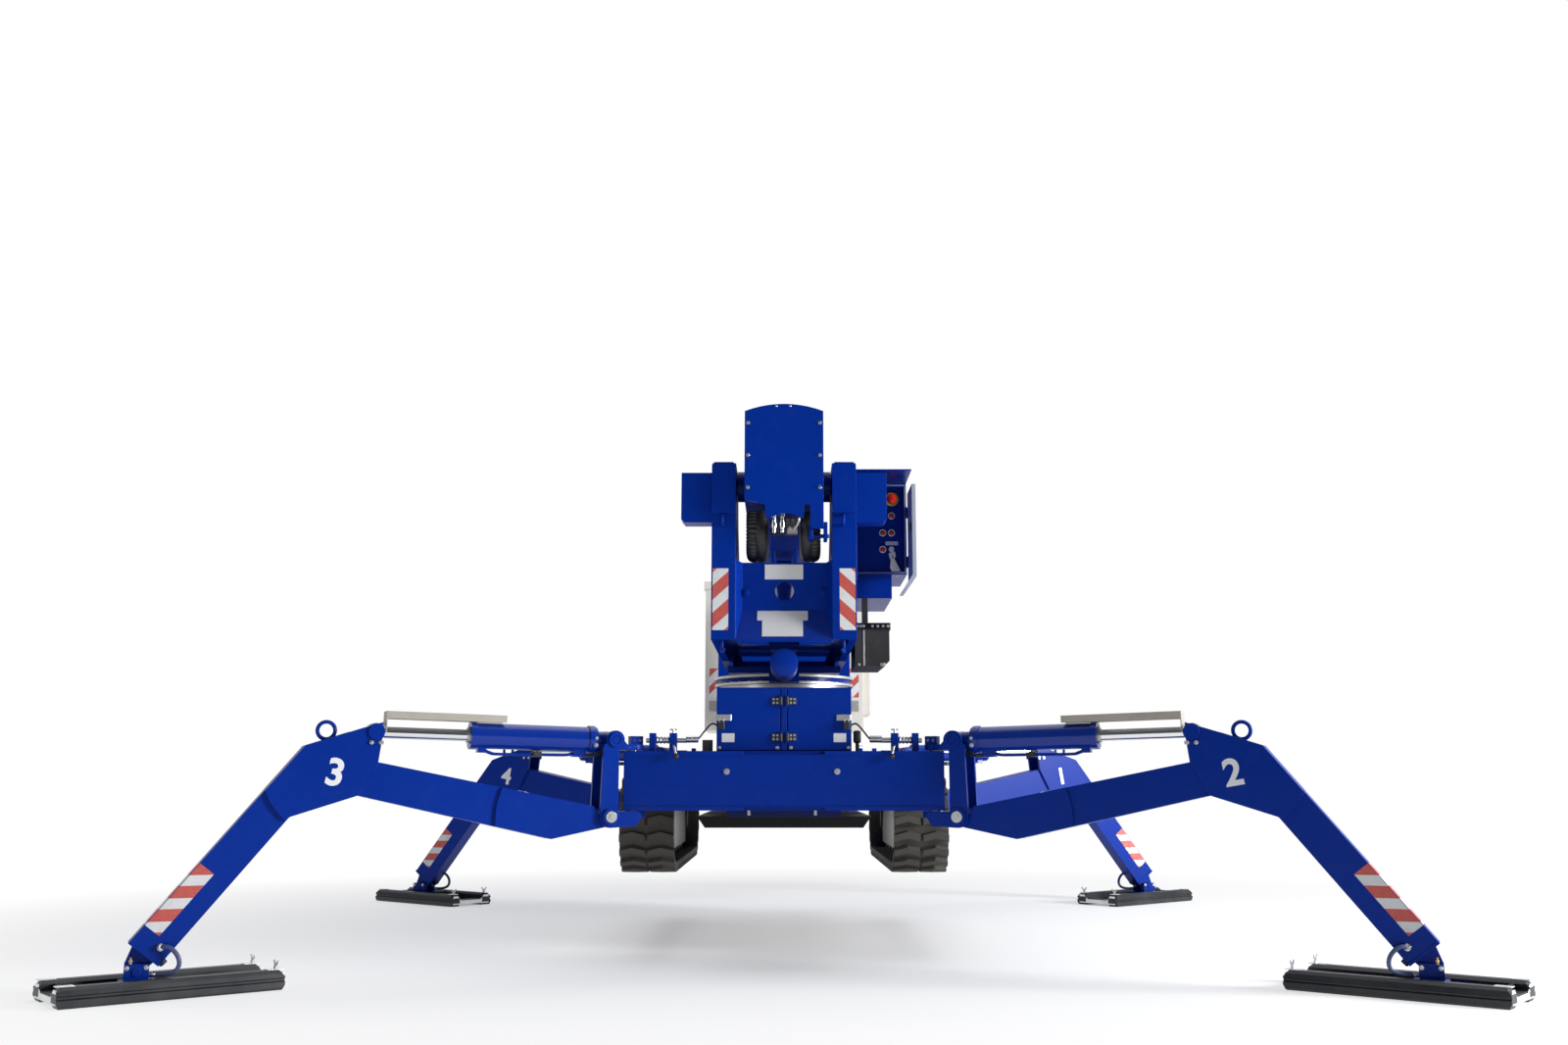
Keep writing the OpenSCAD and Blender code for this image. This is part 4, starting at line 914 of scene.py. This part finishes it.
    def foot(self) -> None:
        """Hose loop, fittings, position switch, grease nipple and block screws at the foot, on the outer side."""
        side = -1
        loop = [(1838, 58, 182), (1824, 70, 186), (1799, 78, 178), (1776, 81, 152), (1768, 80, 122), (1779, 76, 98),
                (1806, 66, 86), (1836, 52, 84), (1858, 46, 85)]
        self.machine.hoses.run(self.body, [(u, side * v, z) for u, v, z in loop], 8.5, self.place, BLUE_HOSE)
        metal, dark, brass = Shape(self.place), Shape(self.place), Shape(self.place)
        metal.lathe([(12, 0), (14, 3), (14, 12), (10, 14), (10, 20)], (1839, side * 50, 180), (-0.3, side * 0.9, 0.2), 12)
        metal.rod((1870, side * 44, 85), (1858, side * 45, 85), 12, 6)
        metal.rod((1858, side * 45, 85), (1848, side * 48, 85), 10, 16, 1)
        dark.rod((1834, 0, 132), (1819, 0, 115), 15, 28, 2)
        nipple = [(5, 0), (5, 8), (8, 9), (8, 14), (4, 15), (4, 20), (5.5, 22), (3, 26), (0, 27)]
        brass.lathe(nipple, (1935, side * 42, 124), (0, 0, 1), 12)
        brass.done(f"foot_nipple_{self.leg.code}", BRASS, self.body)
        metal.done(f"foot_fittings_{self.leg.code}", ZINC, self.body)
        dark.done(f"foot_switch_{self.leg.code}", PLASTIC, self.body)
        for v in (-60, 60):
            spots = [(u, v, 112) for u in (1880, 1947)]
            self.machine.screws.put(self.body, spots, (0, math.copysign(1, v), 0), 6, self.place)

    def barrel_fittings(self) -> None:
        """Ear screws, gland rings, pipes with their clamp, and feed hoses of the lift cylinder."""
        metal, dark = Shape(self.place), Shape(self.place)
        for side in (-1, 1):
            spots = [(176, side * 56, z) for z in (944, 973)]
            self.machine.screws.put(self.barrel, spots, (0, side, 0), 6.5, self.place)
        lean = Vector((self.rod_pin[0] - self.base_pin[0], 0, self.rod_pin[1] - self.base_pin[1])).normalized()
        start = Vector((self.base_pin[0], 0, self.base_pin[1]))
        for near, far, radius in ((0, 7, 37), (7, 12, 31)):
            spots = [tuple(start + lean * (self.barrel_len + reach)) for reach in (near, far)]
            metal.pipe(spots[0], spots[1], radius, 25.6, 32)
        dark.block((402, -24, 893), (438, 24, 915))
        for v in (-12, 12):
            pipe = [(640, v, 918), (618, v, 909), (590, v, 904), (440, v, 903), (300, v, 902), (276, v, 906), (258, v, 911)]
            self.machine.hoses.run(self.barrel, pipe, 6, self.place, BLUE)
            feed = [(214, v * 1.3, 906), (190, v * 1.5, 899), (156, v * 1.6, 905), (124, v * 1.6, 925), (108, v * 1.6, 940)]
            self.machine.hoses.run(self.barrel, feed, 7, self.place)
        metal.done(f"barrel_gland_{self.leg.code}", ZINC, self.barrel, 0.0008)
        dark.done(f"barrel_clamp_{self.leg.code}", PLASTIC, self.barrel, 0.0015)

    def pad_ends(self) -> None:
        """Pale sheets, notched end plates and wing nuts of the ground pad."""
        sheet, dark, metal = Shape(self.pad_place), Shape(self.pad_place), Shape(self.pad_place)
        web = self.pad_half_w - 70
        for end in (-1, 1):
            near, far = end * (self.pad_half - 5), end * (self.pad_half - 1)
            ribbon = [(-web - 50, 12), (web + 50, 12), (web + 60, 24), (web + 50, 64), (web + 14, 64), (web - 2, 44),
                      (web - 14, 36), (-web + 14, 36), (-web + 2, 44), (-web - 14, 64), (-web - 50, 64), (-web - 60, 24)]
            sheet.plate(ribbon, Plane.SIDE, min(near, far), max(near, far))
            for side in (-1, 1):
                low, high = sorted((side * (web + 14), side * (web + 50)))
                inner, outer = sorted((end * (self.pad_half - 64), end * (self.pad_half - 1)))
                sheet.block((inner, low, 74), (outer, high, 77), 1)
        for side in (-1, 1):
            u, v = -self.pad_half + 26, side * (web + 32)
            metal.rod((u, v, 77), (u, v, 98), 4, 12).rod((u, v, 77), (u, v, 88), 8, 6)
            for wing in (-1, 1):
                blade = [(v + wing * 3, 84), (v + wing * 15, 95), (v + wing * 22, 108), (v + wing * 15, 110), (v + wing * 5, 95)]
                metal.plate(blade, Plane.SIDE, u - 1.5, u + 1.5)
        dark.block((self.pad_half - 62, -web, 40), (self.pad_half - 50, web, 62))
        sheet.done(f"pad_sheets_{self.leg.code}", ALUMINIUM, self.body, 0.001)
        dark.done(f"pad_stop_{self.leg.code}", BLACK, self.body, 0.001)
        metal.done(f"pad_wing_nuts_{self.leg.code}", ZINC, self.body)

    def welds(self) -> None:
        """Weld beads round the cheek plates of the root and the knee."""
        root = arc((294, 644), 306, 24, -3, 7)
        knee = arc((1250, 844), 267, -50.3, -20.0, 9)
        for side in (-1, 1):
            self.machine.hoses.run(self.body, [(u, side * 51, z) for u, z in root], 3.2, self.place, BLUE)
            self.machine.hoses.run(self.body, [(u, side * 51, z) for u, z in knee], 3.2, self.place, BLUE)
            seam = [(1077, side * 51, 866), (1110, side * 51, 800), (1148, side * 51, 738)]
            self.machine.hoses.run(self.body, seam, 3.2, self.place, BLUE)
            cuff = [(1943 - 109 * k / 4, side * 51, 207.5 - 87.7 * k / 4) for k in range(5)]
            self.machine.hoses.run(self.body, cuff, 2.8, self.place, BLUE)

    def build(self) -> int:
        """Make the whole leg's fittings, and give the number of kinds."""
        jobs = (self.stripes, self.number, self.pins, self.foot, self.barrel_fittings, self.pad_ends, self.welds)
        for job in jobs:
            job()
        return len(jobs)


@dataclass
class EndCover:
    """Screws and guide heads of the plate that closes the boom's tail, and the hoses under it."""

    machine: Machine
    back: float = -1554.0
    screw_x: float = 160.0
    screw_z: tuple[float, ...] = (2071.0, 2217.0, 2364.0)

    def build(self) -> int:
        """Make the fittings, and give the number of screws."""
        spots = [(side * self.screw_x, self.back, z) for side in (-1, 1) for z in self.screw_z]
        self.machine.screws.put("boom", spots, (0, -1, 0), 6, head=Head.ROUND)
        bumps = Shape().ball((-33, self.back + 6, 2441), 8).ball((28, self.back + 6, 2441), 8)
        bumps.done("end_cover_guides", ZINC, "boom")
        fittings = Shape()
        union = [(11, 0), (14, 2), (14, 20), (10, 22), (10, 44), (13, 46), (13, 66), (9, 68), (9, 90)]
        for x in (-44, -8):
            fittings.lathe(union, (x, -1522, 1962), (0, 0, -1), 12)
        fittings.done("boom_hose_fittings", CHROME, "boom")
        valve = Shape().block((14, -1480, 1876), (62, -1440, 1942), 3).rod((26, -1480, 1900), (26, -1490, 1900), 9, 6)
        valve.rod((48, -1480, 1900), (48, -1490, 1900), 9, 6)
        valve.done("boom_tail_valve", GALVANISED, "boom", 0.001)
        clevis = Shape().block((112, -1540, 1842), (128, -1440, 1906)).block((176, -1540, 1842), (192, -1440, 1906))
        clevis.block((112, -1540, 1906), (192, -1440, 1918)).rod((104, -1490, 1862), (200, -1490, 1862), 9, 20)
        clevis.done("hose_clevis", BLUE, "boom", 0.002)
        self.bundle()
        return len(spots)

    def bundle(self) -> None:
        """Hoses under the boom's tail, clear of what the lift cylinder sweeps when the boom is up."""
        for x, radius, rib in ((-140, 29, 0.07), (-104, 32, 0.0), (-122, 27, 0.07), (104, 30, 0.0), (138, 26, 0.07)):
            low = 1812 if abs(x) != 122 else 1850
            loop = [(x, -1400, 1975), (x, -1428, 1900), (x, -1408, low + 32), (x, -1350, low), (x, -1250, low - 2),
                    (x, -1150, low + 28), (x, -1090, 1900), (x, -1080, 1960)]
            self.machine.hoses.run("boom", loop, radius, rib=rib)
        for k in range(6):
            x = -56 + 22 * k
            loop = [(x, -1522, 1900) if k in (0, 2) else (x, -1500, 1940), (x + 2, -1490, 1912), (x + 4, -1440, 1908),
                    (x + 4, -1340, 1914), (x + 4, -1240, 1918), (x + 4, -1140, 1930), (x + 4, -1080, 1960)]
            self.machine.hoses.run("boom", loop, 9)
        steel = [(66, -1505, 1940), (62, -1500, 1915), (40, -1470, 1890), (36, -1400, 1896), (36, -1330, 1910)]
        self.machine.hoses.run("boom", steel, 6, finish=ZINC)


@dataclass
class TurretFittings:
    """Signs, stripes, eyes, bosses, ring screws, hoses and battery fittings of the turret."""

    machine: Machine
    tail: float = -1470.0
    ring_y: float = -550.0
    post_out: float = 322.0
    post_in: float = 215.0
    plate_y: float = -1380.0
    bend_z: float = 1546.0
    foot_z: float = 1406.0

    def signs(self) -> None:
        """Blank signs and the stripes on the posts."""
        for side, finish in ((-1, LEFT_STRIPES), (1, RIGHT_STRIPES)):
            near, far = side * 246, side * 316
            plate = [(near, 1447), (far, 1447), (far, 1721), (near, 1721)]
            name = "left" if side < 0 else "right"
            Shape().plate(plate, Plane.UPRIGHT, self.tail - 1, self.tail).done(f"post_stripes_{name}", finish, "turret")
        board = [(-86, 1684), (86, 1684), (86, 1751), (-86, 1751)]
        Shape().plate(board, Plane.UPRIGHT, self.plate_y - 1.2, self.plate_y).done("rear_sign", LABEL, "turret")
        drop = Vector((0, self.tail - self.plate_y, self.foot_z - self.bend_z))
        drop.normalize()
        out = Vector((0, drop.z, -drop.y))
        axes = Matrix(((1, 0, 0), drop, out)).transposed().to_4x4()
        slope = CHASSIS @ Matrix.Translation((0, self.plate_y, self.bend_z)) @ axes
        tee = [(-119, 6), (106, 6), (106, 60), (84, 60), (84, 150), (-97, 150), (-97, 60), (-119, 60)]
        Shape(slope).plate(tee, Plane.FLAT, 0.2, 1.4).done("slope_sign", LABEL, "turret")

    def bosses(self) -> None:
        """Hexagonal bosses, tie-down eyes and hooks on the tail."""
        shape = Shape()
        for x in (-169, 176):
            shape.rod((x, self.plate_y, 1624), (x, self.plate_y - 14, 1624), 18, 6)
            shape.rod((x, self.plate_y - 14, 1624), (x, self.plate_y - 17, 1624), 9, 20)
        shape.done("tail_bosses", BLUE, "turret", 0.0015)
        tail = self.tail
        for x in (-273, 264):
            eye = [(x, tail + 4, 1960), (x, tail - 18, 1957), (x, tail - 28, 1938), (x, tail - 18, 1918), (x, tail + 4, 1914)]
            self.machine.hoses.run("turret", eye, 7, finish=BLUE)
            hook = [(x, tail + 20, 1412), (x, tail + 20, 1376), (x, tail + 12, 1354), (x * 0.98, tail + 2, 1352),
                    (x * 0.96, tail - 2, 1366)]
            self.machine.hoses.run("turret", hook, 7, finish=BLUE)

    def ring(self) -> None:
        """Screws round the slewing ring, below and above its joint."""
        count = 36
        turns = [2 * math.pi * k / count for k in range(count)]
        lower = [(331.5 * math.cos(a), self.ring_y + 331.5 * math.sin(a), 1216) for a in turns]
        self.machine.screws.put("chassis", lower, (0, 0, 1), 4.2)
        upper = [(335 * math.cos(a), self.ring_y + 335 * math.sin(a), 1264.3) for a in turns]
        self.machine.screws.put("turret", upper, (0, 0, 1), 4.4)
        for body, radius, bands in (("chassis", 338, ((1200.5, 1215.5),)), ("turret", 343, ((1251.8, 1263.8), (1285.5, 1297.5)))):
            worn = Shape()
            for low, high in bands:
                worn.pipe((0, self.ring_y, low), (0, self.ring_y, high), radius + 0.6, radius + 0.05, 120)
            worn.done(f"bare_ring_edges_{body}", GALVANISED, body)

    def motor(self) -> None:
        """End cap of the slewing motor."""
        cap = Shape().lathe([(56, 0), (62, 3), (62, 18), (50, 24), (0, 25)], (0, -1390, 1310), (0, -1, 0), 40)
        cap.done("slew_motor_cap", BLUE, "turret")

    def battery(self) -> None:
        """Lid angle, strap, foot tabs and screws of the battery box."""
        metal, dark = Shape(), Shape()
        dark.block((323, -1259, 1473), (483, -1256, 1500), 0.5)
        metal.block((359, -1252, 1308), (366, -1250, 1470))
        metal.block((436, -1252, 1306), (458, -1250, 1320))
        metal.done("battery_strap", GALVANISED, "turret", 0.0005)
        dark.done("battery_lid_angle", BLACK, "turret", 0.0008)
        row = [(x, -1259, 1487) for x in (334, 348, 362, 402, 426, 450, 472)]
        self.machine.screws.put("turret", row, (0, -1, 0), 4.5)
        self.machine.screws.put("turret", [(446, -1252, 1313), (340, -1250, 1313)], (0, -1, 0), 4.5)

    def build(self) -> int:
        """Make the turret's fittings, and give the number of kinds."""
        jobs = (self.signs, self.bosses, self.ring, self.motor, self.battery)
        for job in jobs:
            job()
        return len(jobs)


@dataclass
class ControlPanel:
    """Switches, lamps, keys, label, seal and latch of the ground control cabinet."""

    machine: Machine
    floor: float = -904.0
    base: float = -912.0
    rim: float = -944.0

    def knobs(self) -> None:
        """The stop button, the lamps and the key switch."""
        yellow, red, lens, metal = Shape(), Shape(), Shape(), Shape()
        base = self.base
        yellow.rod((522, base, 2139), (522, base - 6, 2139), 34, 40, 1.5)
        red.lathe([(14, 0), (14, 5), (23, 8), (25, 12), (22, 18), (12, 21), (0, 22)], (522, base - 6, 2139), (0, -1, 0), 32)
        for x, z in ((520, 2057), (477, 1974), (519, 1974), (476, 1893)):
            metal.pipe((x, base, z), (x, base - 5, z), 17.5, 12.5, 28)
            lens.lathe([(12.6, 0), (12.6, 6), (11, 11), (6, 14), (0, 15)], (x, base, z), (0, -1, 0), 24)
        metal.rod((518, base, 1893), (518, base - 14, 1893), 14, 24, 1.5)
        key = [(511, 1898), (525, 1898), (529, 1878), (521, 1862), (513, 1878)]
        for shift, drop in ((0, 0), (9, 18), (-8, 24)):
            depth = base - 16 - abs(shift) * 0.3
            metal.plate([(x + shift, z - drop) for x, z in key], Plane.UPRIGHT, depth - 1.5, depth)
        tag = [(514, 1852), (530, 1846), (560, 1786), (556, 1762), (536, 1758), (508, 1800)]
        metal.plate(tag, Plane.UPRIGHT, base - 24, base - 21)
        yellow.done("stop_ring", YELLOW, "turret")
        red.done("stop_button", RED, "turret")
        lens.done("panel_lamps", RED_LENS, "turret")
        metal.done("panel_bezels_and_keys", ALUMINIUM, "turret", 0.0006)
        label = Shape().plate([(490, 1915), (551, 1915), (551, 1934), (490, 1934)], Plane.UPRIGHT, self.floor - 1, self.floor)
        label.done("panel_label", LABEL, "turret")

    def build(self) -> int:
        """Make the panel's fittings, and give the number of seal strips."""
        self.knobs()
        seal, rim = Shape(), self.rim
        for x in (339, 579):
            seal.block((x, rim - 4, 1772), (x + 6, rim, 2205), 1)
        for z in (1772, 2199):
            seal.block((345, rim - 4, z), (579, rim, z + 6), 1)
        seal.done("panel_seal", GREY_SEAL, "turret", 0.001)
        latch = Shape().block((588, -1222, 1930), (592, -1200, 1974)).rod((589, -1210, 1952), (578, -1210, 1952), 9, 20, 1)
        latch.done("panel_latch", PLASTIC, "panel_door", 0.001)
        return 4


@dataclass
class RearCabinet:
    """Hinge skins, hasps, padlocks, labels, cables and the valve bank of the rear cabinet."""

    machine: Machine
    front: float = -1450.3
    leaf: float = 4.0
    hinge: tuple[float, float] = (14.0, -1458.8)
    hinge_z: tuple[float, float] = (981.0, 1138.0)

    def door(self, side: int, name: str) -> None:
        """The fittings that ride one door."""
        body, skin, lock, metal = f"cabinet_door_{name}", Shape(), Shape(), Shape()
        face = self.front - self.leaf
        for z in self.hinge_z:
            low, high = sorted((side * 18, side * 54))
            skin.block((low, face - 0.8, z - 16), (high, face, z + 16))
            spot = (side * self.hinge[0], self.hinge[1])
            skin.pipe((*spot, z - 16), (*spot, z + 16), 7.7, 7.05, 24)
            spots = [(side * x, face - 0.8, z + b) for x in (29, 45) for b in (-8, 8)]
            self.machine.screws.put(body, spots, (0, -1, 0), 3.6, head=Head.ROUND)
        low, high = sorted((side * 293, side * 229))
        metal.block((low, self.front - 5, 1053), (high, self.front, 1079), 2)
        metal.pipe((side * 273, self.front - 5, 1054), (side * 273, self.front - 17, 1054), 12, 8, 20)
        lock.block((side * 273 - 15, self.front - 19, 1014), (side * 273 + 15, self.front - 5, 1046), 3)
        skin.done(f"cabinet_hinges_{name}", PLASTIC, body, 0.0004)
        lock.done(f"cabinet_padlock_{name}", PLASTIC, body, 0.001)
        metal.done(f"cabinet_hasp_{name}", ZINC, body, 0.0008)
        low, high = sorted((side * 271, side * 216))
        tag = [(low, 960), (high, 960), (high, 998), (low, 998)]
        Shape().plate(tag, Plane.UPRIGHT, self.front - 0.8, self.front).done(f"cabinet_label_{name}", LABEL, body)
        self.machine.screws.put(body, [(side * 280, self.front, 936), (side * 30, self.front, 936)], (0, -1, 0), 5)

    def build(self) -> int:
        """Make the cabinet's fittings, and give the number of doors."""
        doors = {-1: "left", 1: "right"}
        for side, name in doors.items():
            self.door(side, name)
            bank = Shape()
            for k in range(5):
                x = side * (60 + 44 * k)
                bank.block((x - 18, -1320, 960), (x + 18, -1250, 1110), 3).rod((x, -1320, 1080), (x, -1345, 1080), 13, 20, 2)
                bank.rod((x, -1320, 1020), (x, -1336, 1020), 9, 6)
                loop = [(x, -1290, 962), (x, -1330, 948), (x + 10, -1360, 950), (x + 20, -1300, 944)]
                self.machine.hoses.run("chassis", loop, 6)
            bank.done(f"valve_bank_{name}", ALUMINIUM, "chassis", 0.001)
            cable = [(side * 296, -1400, 1036), (side * 318, -1418, 1040), (side * 345, -1440, 1010), (side * 372, -1460, 975),
                     (side * 392, -1470, 972)]
            self.machine.hoses.run("chassis", cable, 4)
        extras = Shape().block((-356, -1440, 920), (-312, -1402, 970), 3)
        extras.rod((320, -1420, 920), (320, -1420, 956), 8, 16).rod((320, -1420, 956), (320, -1420, 1010), 17, 28, 6)
        extras.done("cabinet_switch_and_horn", PLASTIC, "chassis", 0.001)
        return len(doors)


@dataclass
class BeamFittings:
    """Screws and studs of the crossbeams, and springs, set screws and levers of the swing locks."""

    machine: Machine
    axle_y: float = 1470.0
    face: float = 1540.0

    def lock(self, side: int, end: int) -> None:
        """The spring, the set screw and the lever of one swing lock."""
        spring = [(side * x, end * self.axle_y, 968) for x in (554, 540, 520, 499)]
        self.machine.hoses.run("chassis", spring, 14, finish=ZINC, rib=0.16)
        metal, ball = Shape(), Shape()
        for low, high, z, radius in ((397, 423, 972, 14), (372.5, 398, 972, 14), (425, 463.5, 968, 11), (584, 597, 968, 11)):
            spots = [(side * x, end * self.axle_y, z) for x in (low, high)]
            metal.pipe(spots[0], spots[1], radius + 0.7, radius + 0.05, 28)
        metal.rod((side * 481, end * self.axle_y, 998), (side * 481, end * self.axle_y, 1016), 5, 16)
        metal.rod((side * 466, end * self.axle_y, 1014), (side * 496, end * self.axle_y, 1014), 3.5, 12)
        metal.rod((side * 478, end * (self.axle_y + 20), 945), (side * 470, end * (self.axle_y + 84), 936), 5.5, 12)
        metal.rod((side * 470, end * (self.axle_y + 84), 938), (side * 462, end * (self.axle_y + 90), 902), 5.5, 12)
        ball.ball((side * 461, end * (self.axle_y + 91), 897), 13)
        corner = f"{'front' if end > 0 else 'rear'}_{'right' if side > 0 else 'left'}"
        metal.done(f"lock_handle_{corner}", ZINC, "chassis")
        ball.done(f"lock_ball_{corner}", PLASTIC, "chassis")

    def build(self) -> int:
        """Make all of them, and give the number of locks."""
        studs = Shape()
        for end in (-1, 1):
            spots = [(x, end * self.face, 833) for x in (-245, 228)]
            self.machine.screws.put("chassis", spots, (0, end, 0), 9)
            for x in (-150, 134):
                studs.rod((x, end * (self.face - 60), 669), (x, end * (self.face - 60), 648), 7, 6)
            for side in (-1, 1):
                self.lock(side, end)
        studs.done("beam_studs", ZINC, "chassis")
        return 4


@dataclass
class BasketTrim:
    """Warning sheeting, kick mesh and handle at the basket's rear corners."""

    machine: Machine
    rear: float = 3300.0

    def build(self) -> int:
        """Make the trim, and give the number of sheets."""
        sheets = ((-568, -501), (501, 568))
        strips, mesh = Shape(), Shape()
        for low, high in sheets:
            strips.plate([(low, 1420), (high, 1420), (high, 1640), (low, 1640)], Plane.UPRIGHT, self.rear - 1.2, self.rear)
            mesh.plate([(low, 1314), (high, 1314), (high, 1396), (low, 1396)], Plane.UPRIGHT, self.rear - 1.2, self.rear)
        strips.done("basket_stripes", BASKET_STRIPES, "platform")
        mesh.done("basket_kick_mesh", GALVANISED, "platform")
        loop = [(655, 3400, 1640), (664, 3400, 1630), (664, 3400, 1420), (655, 3400, 1408)]
        self.machine.hoses.run("platform", [(x - 18, y, z) for x, y, z in loop], 8, finish=LAMINATE)
        return len(sheets)


@dataclass
class Studio:
    """The pale floor, the soft lamps, the white background and the camera at the photograph's angle."""

    lens: float = 33.75
    tilt: float = 10.0
    distance: float = 7.92
    eye: float = 0.79

    def camera(self) -> None:
        """Stand the camera behind the machine, low and pitched up."""
        view = bpy.data.cameras.new("camera")
        view.lens, view.sensor_width, view.clip_end = self.lens, 36.0, 200.0
        stand = bpy.data.objects.new("camera", view)
        bpy.context.scene.collection.objects.link(stand)
        stand.location = (0.0, CHASSIS_Y - self.distance, self.eye)
        stand.rotation_euler = (math.radians(90 + self.tilt), 0, 0)
        bpy.context.scene.camera = stand

    def world(self) -> None:
        """A hall that is bright ahead, above and at the sides and dark behind the camera, shown white to the lens."""
        world = bpy.data.worlds.new("world")
        bpy.context.scene.world = world
        world.use_nodes = True
        net = Network(world.node_tree)
        seen = net.add("ShaderNodeLightPath", out="Is Camera Ray")
        through = net.add("ShaderNodeLightPath", out="Is Transmission Ray")
        white = net.add("ShaderNodeBackground", None, {"Color": (1, 1, 1, 1), "Strength": 1.0})
        way = net.add("ShaderNodeTexCoord", out="Generated")
        ahead = (way.part("Y") * 0.75 + way.part("Z") * 0.25 + 0.25).clamped()
        dim, bright = (0.10, 0.11, 0.13), (0.95, 0.96, 1.0)
        tone = net.add("ShaderNodeValToRGB", {"stops": [(0.0, dim), (0.25, (0.22, 0.23, 0.26)), (0.9, bright)]}, {0: ahead})
        soft = net.add("ShaderNodeBackground", None, {"Color": tone, "Strength": 0.8})
        both = net.add("ShaderNodeMixShader", None, {0: (seen + through).clamped(), 1: soft, 2: white})
        net.add("ShaderNodeOutputWorld", None, {"Surface": both})

    def floor(self) -> None:
        """A pale floor that keeps the object's shadow and fades to white far away."""
        surface = Surface("floor")
        spot = surface.place()
        far = surface.add("ShaderNodeVectorMath", {"operation": "LENGTH"}, {0: spot}, "Value")
        fade = ((far - 2.0) / 3.5).clamped() * 0.75 + 0.25
        matt = surface.add("ShaderNodeBsdfDiffuse", None, {"Color": (0.93, 0.93, 0.93, 1)})
        glow = surface.add("ShaderNodeEmission", None, {"Color": (1, 1, 1, 1), "Strength": 1.0})
        both = surface.add("ShaderNodeMixShader", None, {0: fade, 1: matt, 2: glow})
        surface.add("ShaderNodeOutputMaterial", None, {"Surface": both})
        mesh = bpy.data.meshes.new("floor")
        reach = 60.0
        mesh.from_pydata([(-reach, -reach, 0), (reach, -reach, 0), (reach, reach, 0), (-reach, reach, 0)], [], [(0, 1, 2, 3)])
        mesh.materials.append(surface.material)
        floor = bpy.data.objects.new("floor", mesh)
        bpy.context.scene.collection.objects.link(floor)

    def lamps(self) -> None:
        """A large soft lamp above, a key from the right behind the camera and a weak one from the left."""
        lamps = (("top", (0, 0, 7.5), (0, 0, 0.5), 7.0, 190), ("key", (9.0, -4.6, 2.6), (0, 0, 0.8), 3.0, 1350),
                 ("fill", (-6.5, -6.0, 3.0), (0, 0, 0.8), 3.0, 40))
        for name, spot, aim, size, power in lamps:
            lamp = bpy.data.lights.new(name, "AREA")
            lamp.energy, lamp.size, lamp.shape = power, size, "DISK"
            stand = bpy.data.objects.new(name, lamp)
            bpy.context.scene.collection.objects.link(stand)
            stand.location = spot
            stand.rotation_mode = "QUATERNION"
            stand.rotation_quaternion = (Vector(aim) - Vector(spot)).to_track_quat("-Z", "Y")

    def build(self) -> None:
        """Set the stage."""
        bpy.context.scene.view_settings.view_transform = "Standard"
        self.camera()
        self.world()
        self.floor()
        self.lamps()


def main() -> None:
    """Dress the machine, one sub-assembly after another."""
    logging.basicConfig(level=logging.INFO, format="%(name)s %(message)s")
    Studio().build()
    LOG.info("nodes dressed: %d", NodeDress().build())
    machine = Machine()
    for leg in Leg:
        LOG.info("leg %s fittings: %d", leg.code, LegFittings(leg, machine).build())
    for job in (EndCover(machine), TurretFittings(machine), ControlPanel(machine), RearCabinet(machine),
                BeamFittings(machine), BasketTrim(machine)):
        LOG.info("%s: %d", type(job).__name__, job.build())
    LOG.info("screws: %d", machine.screws.build())
    LOG.info("lines: %d", machine.hoses.build())


if __name__ == "__main__":
    main()
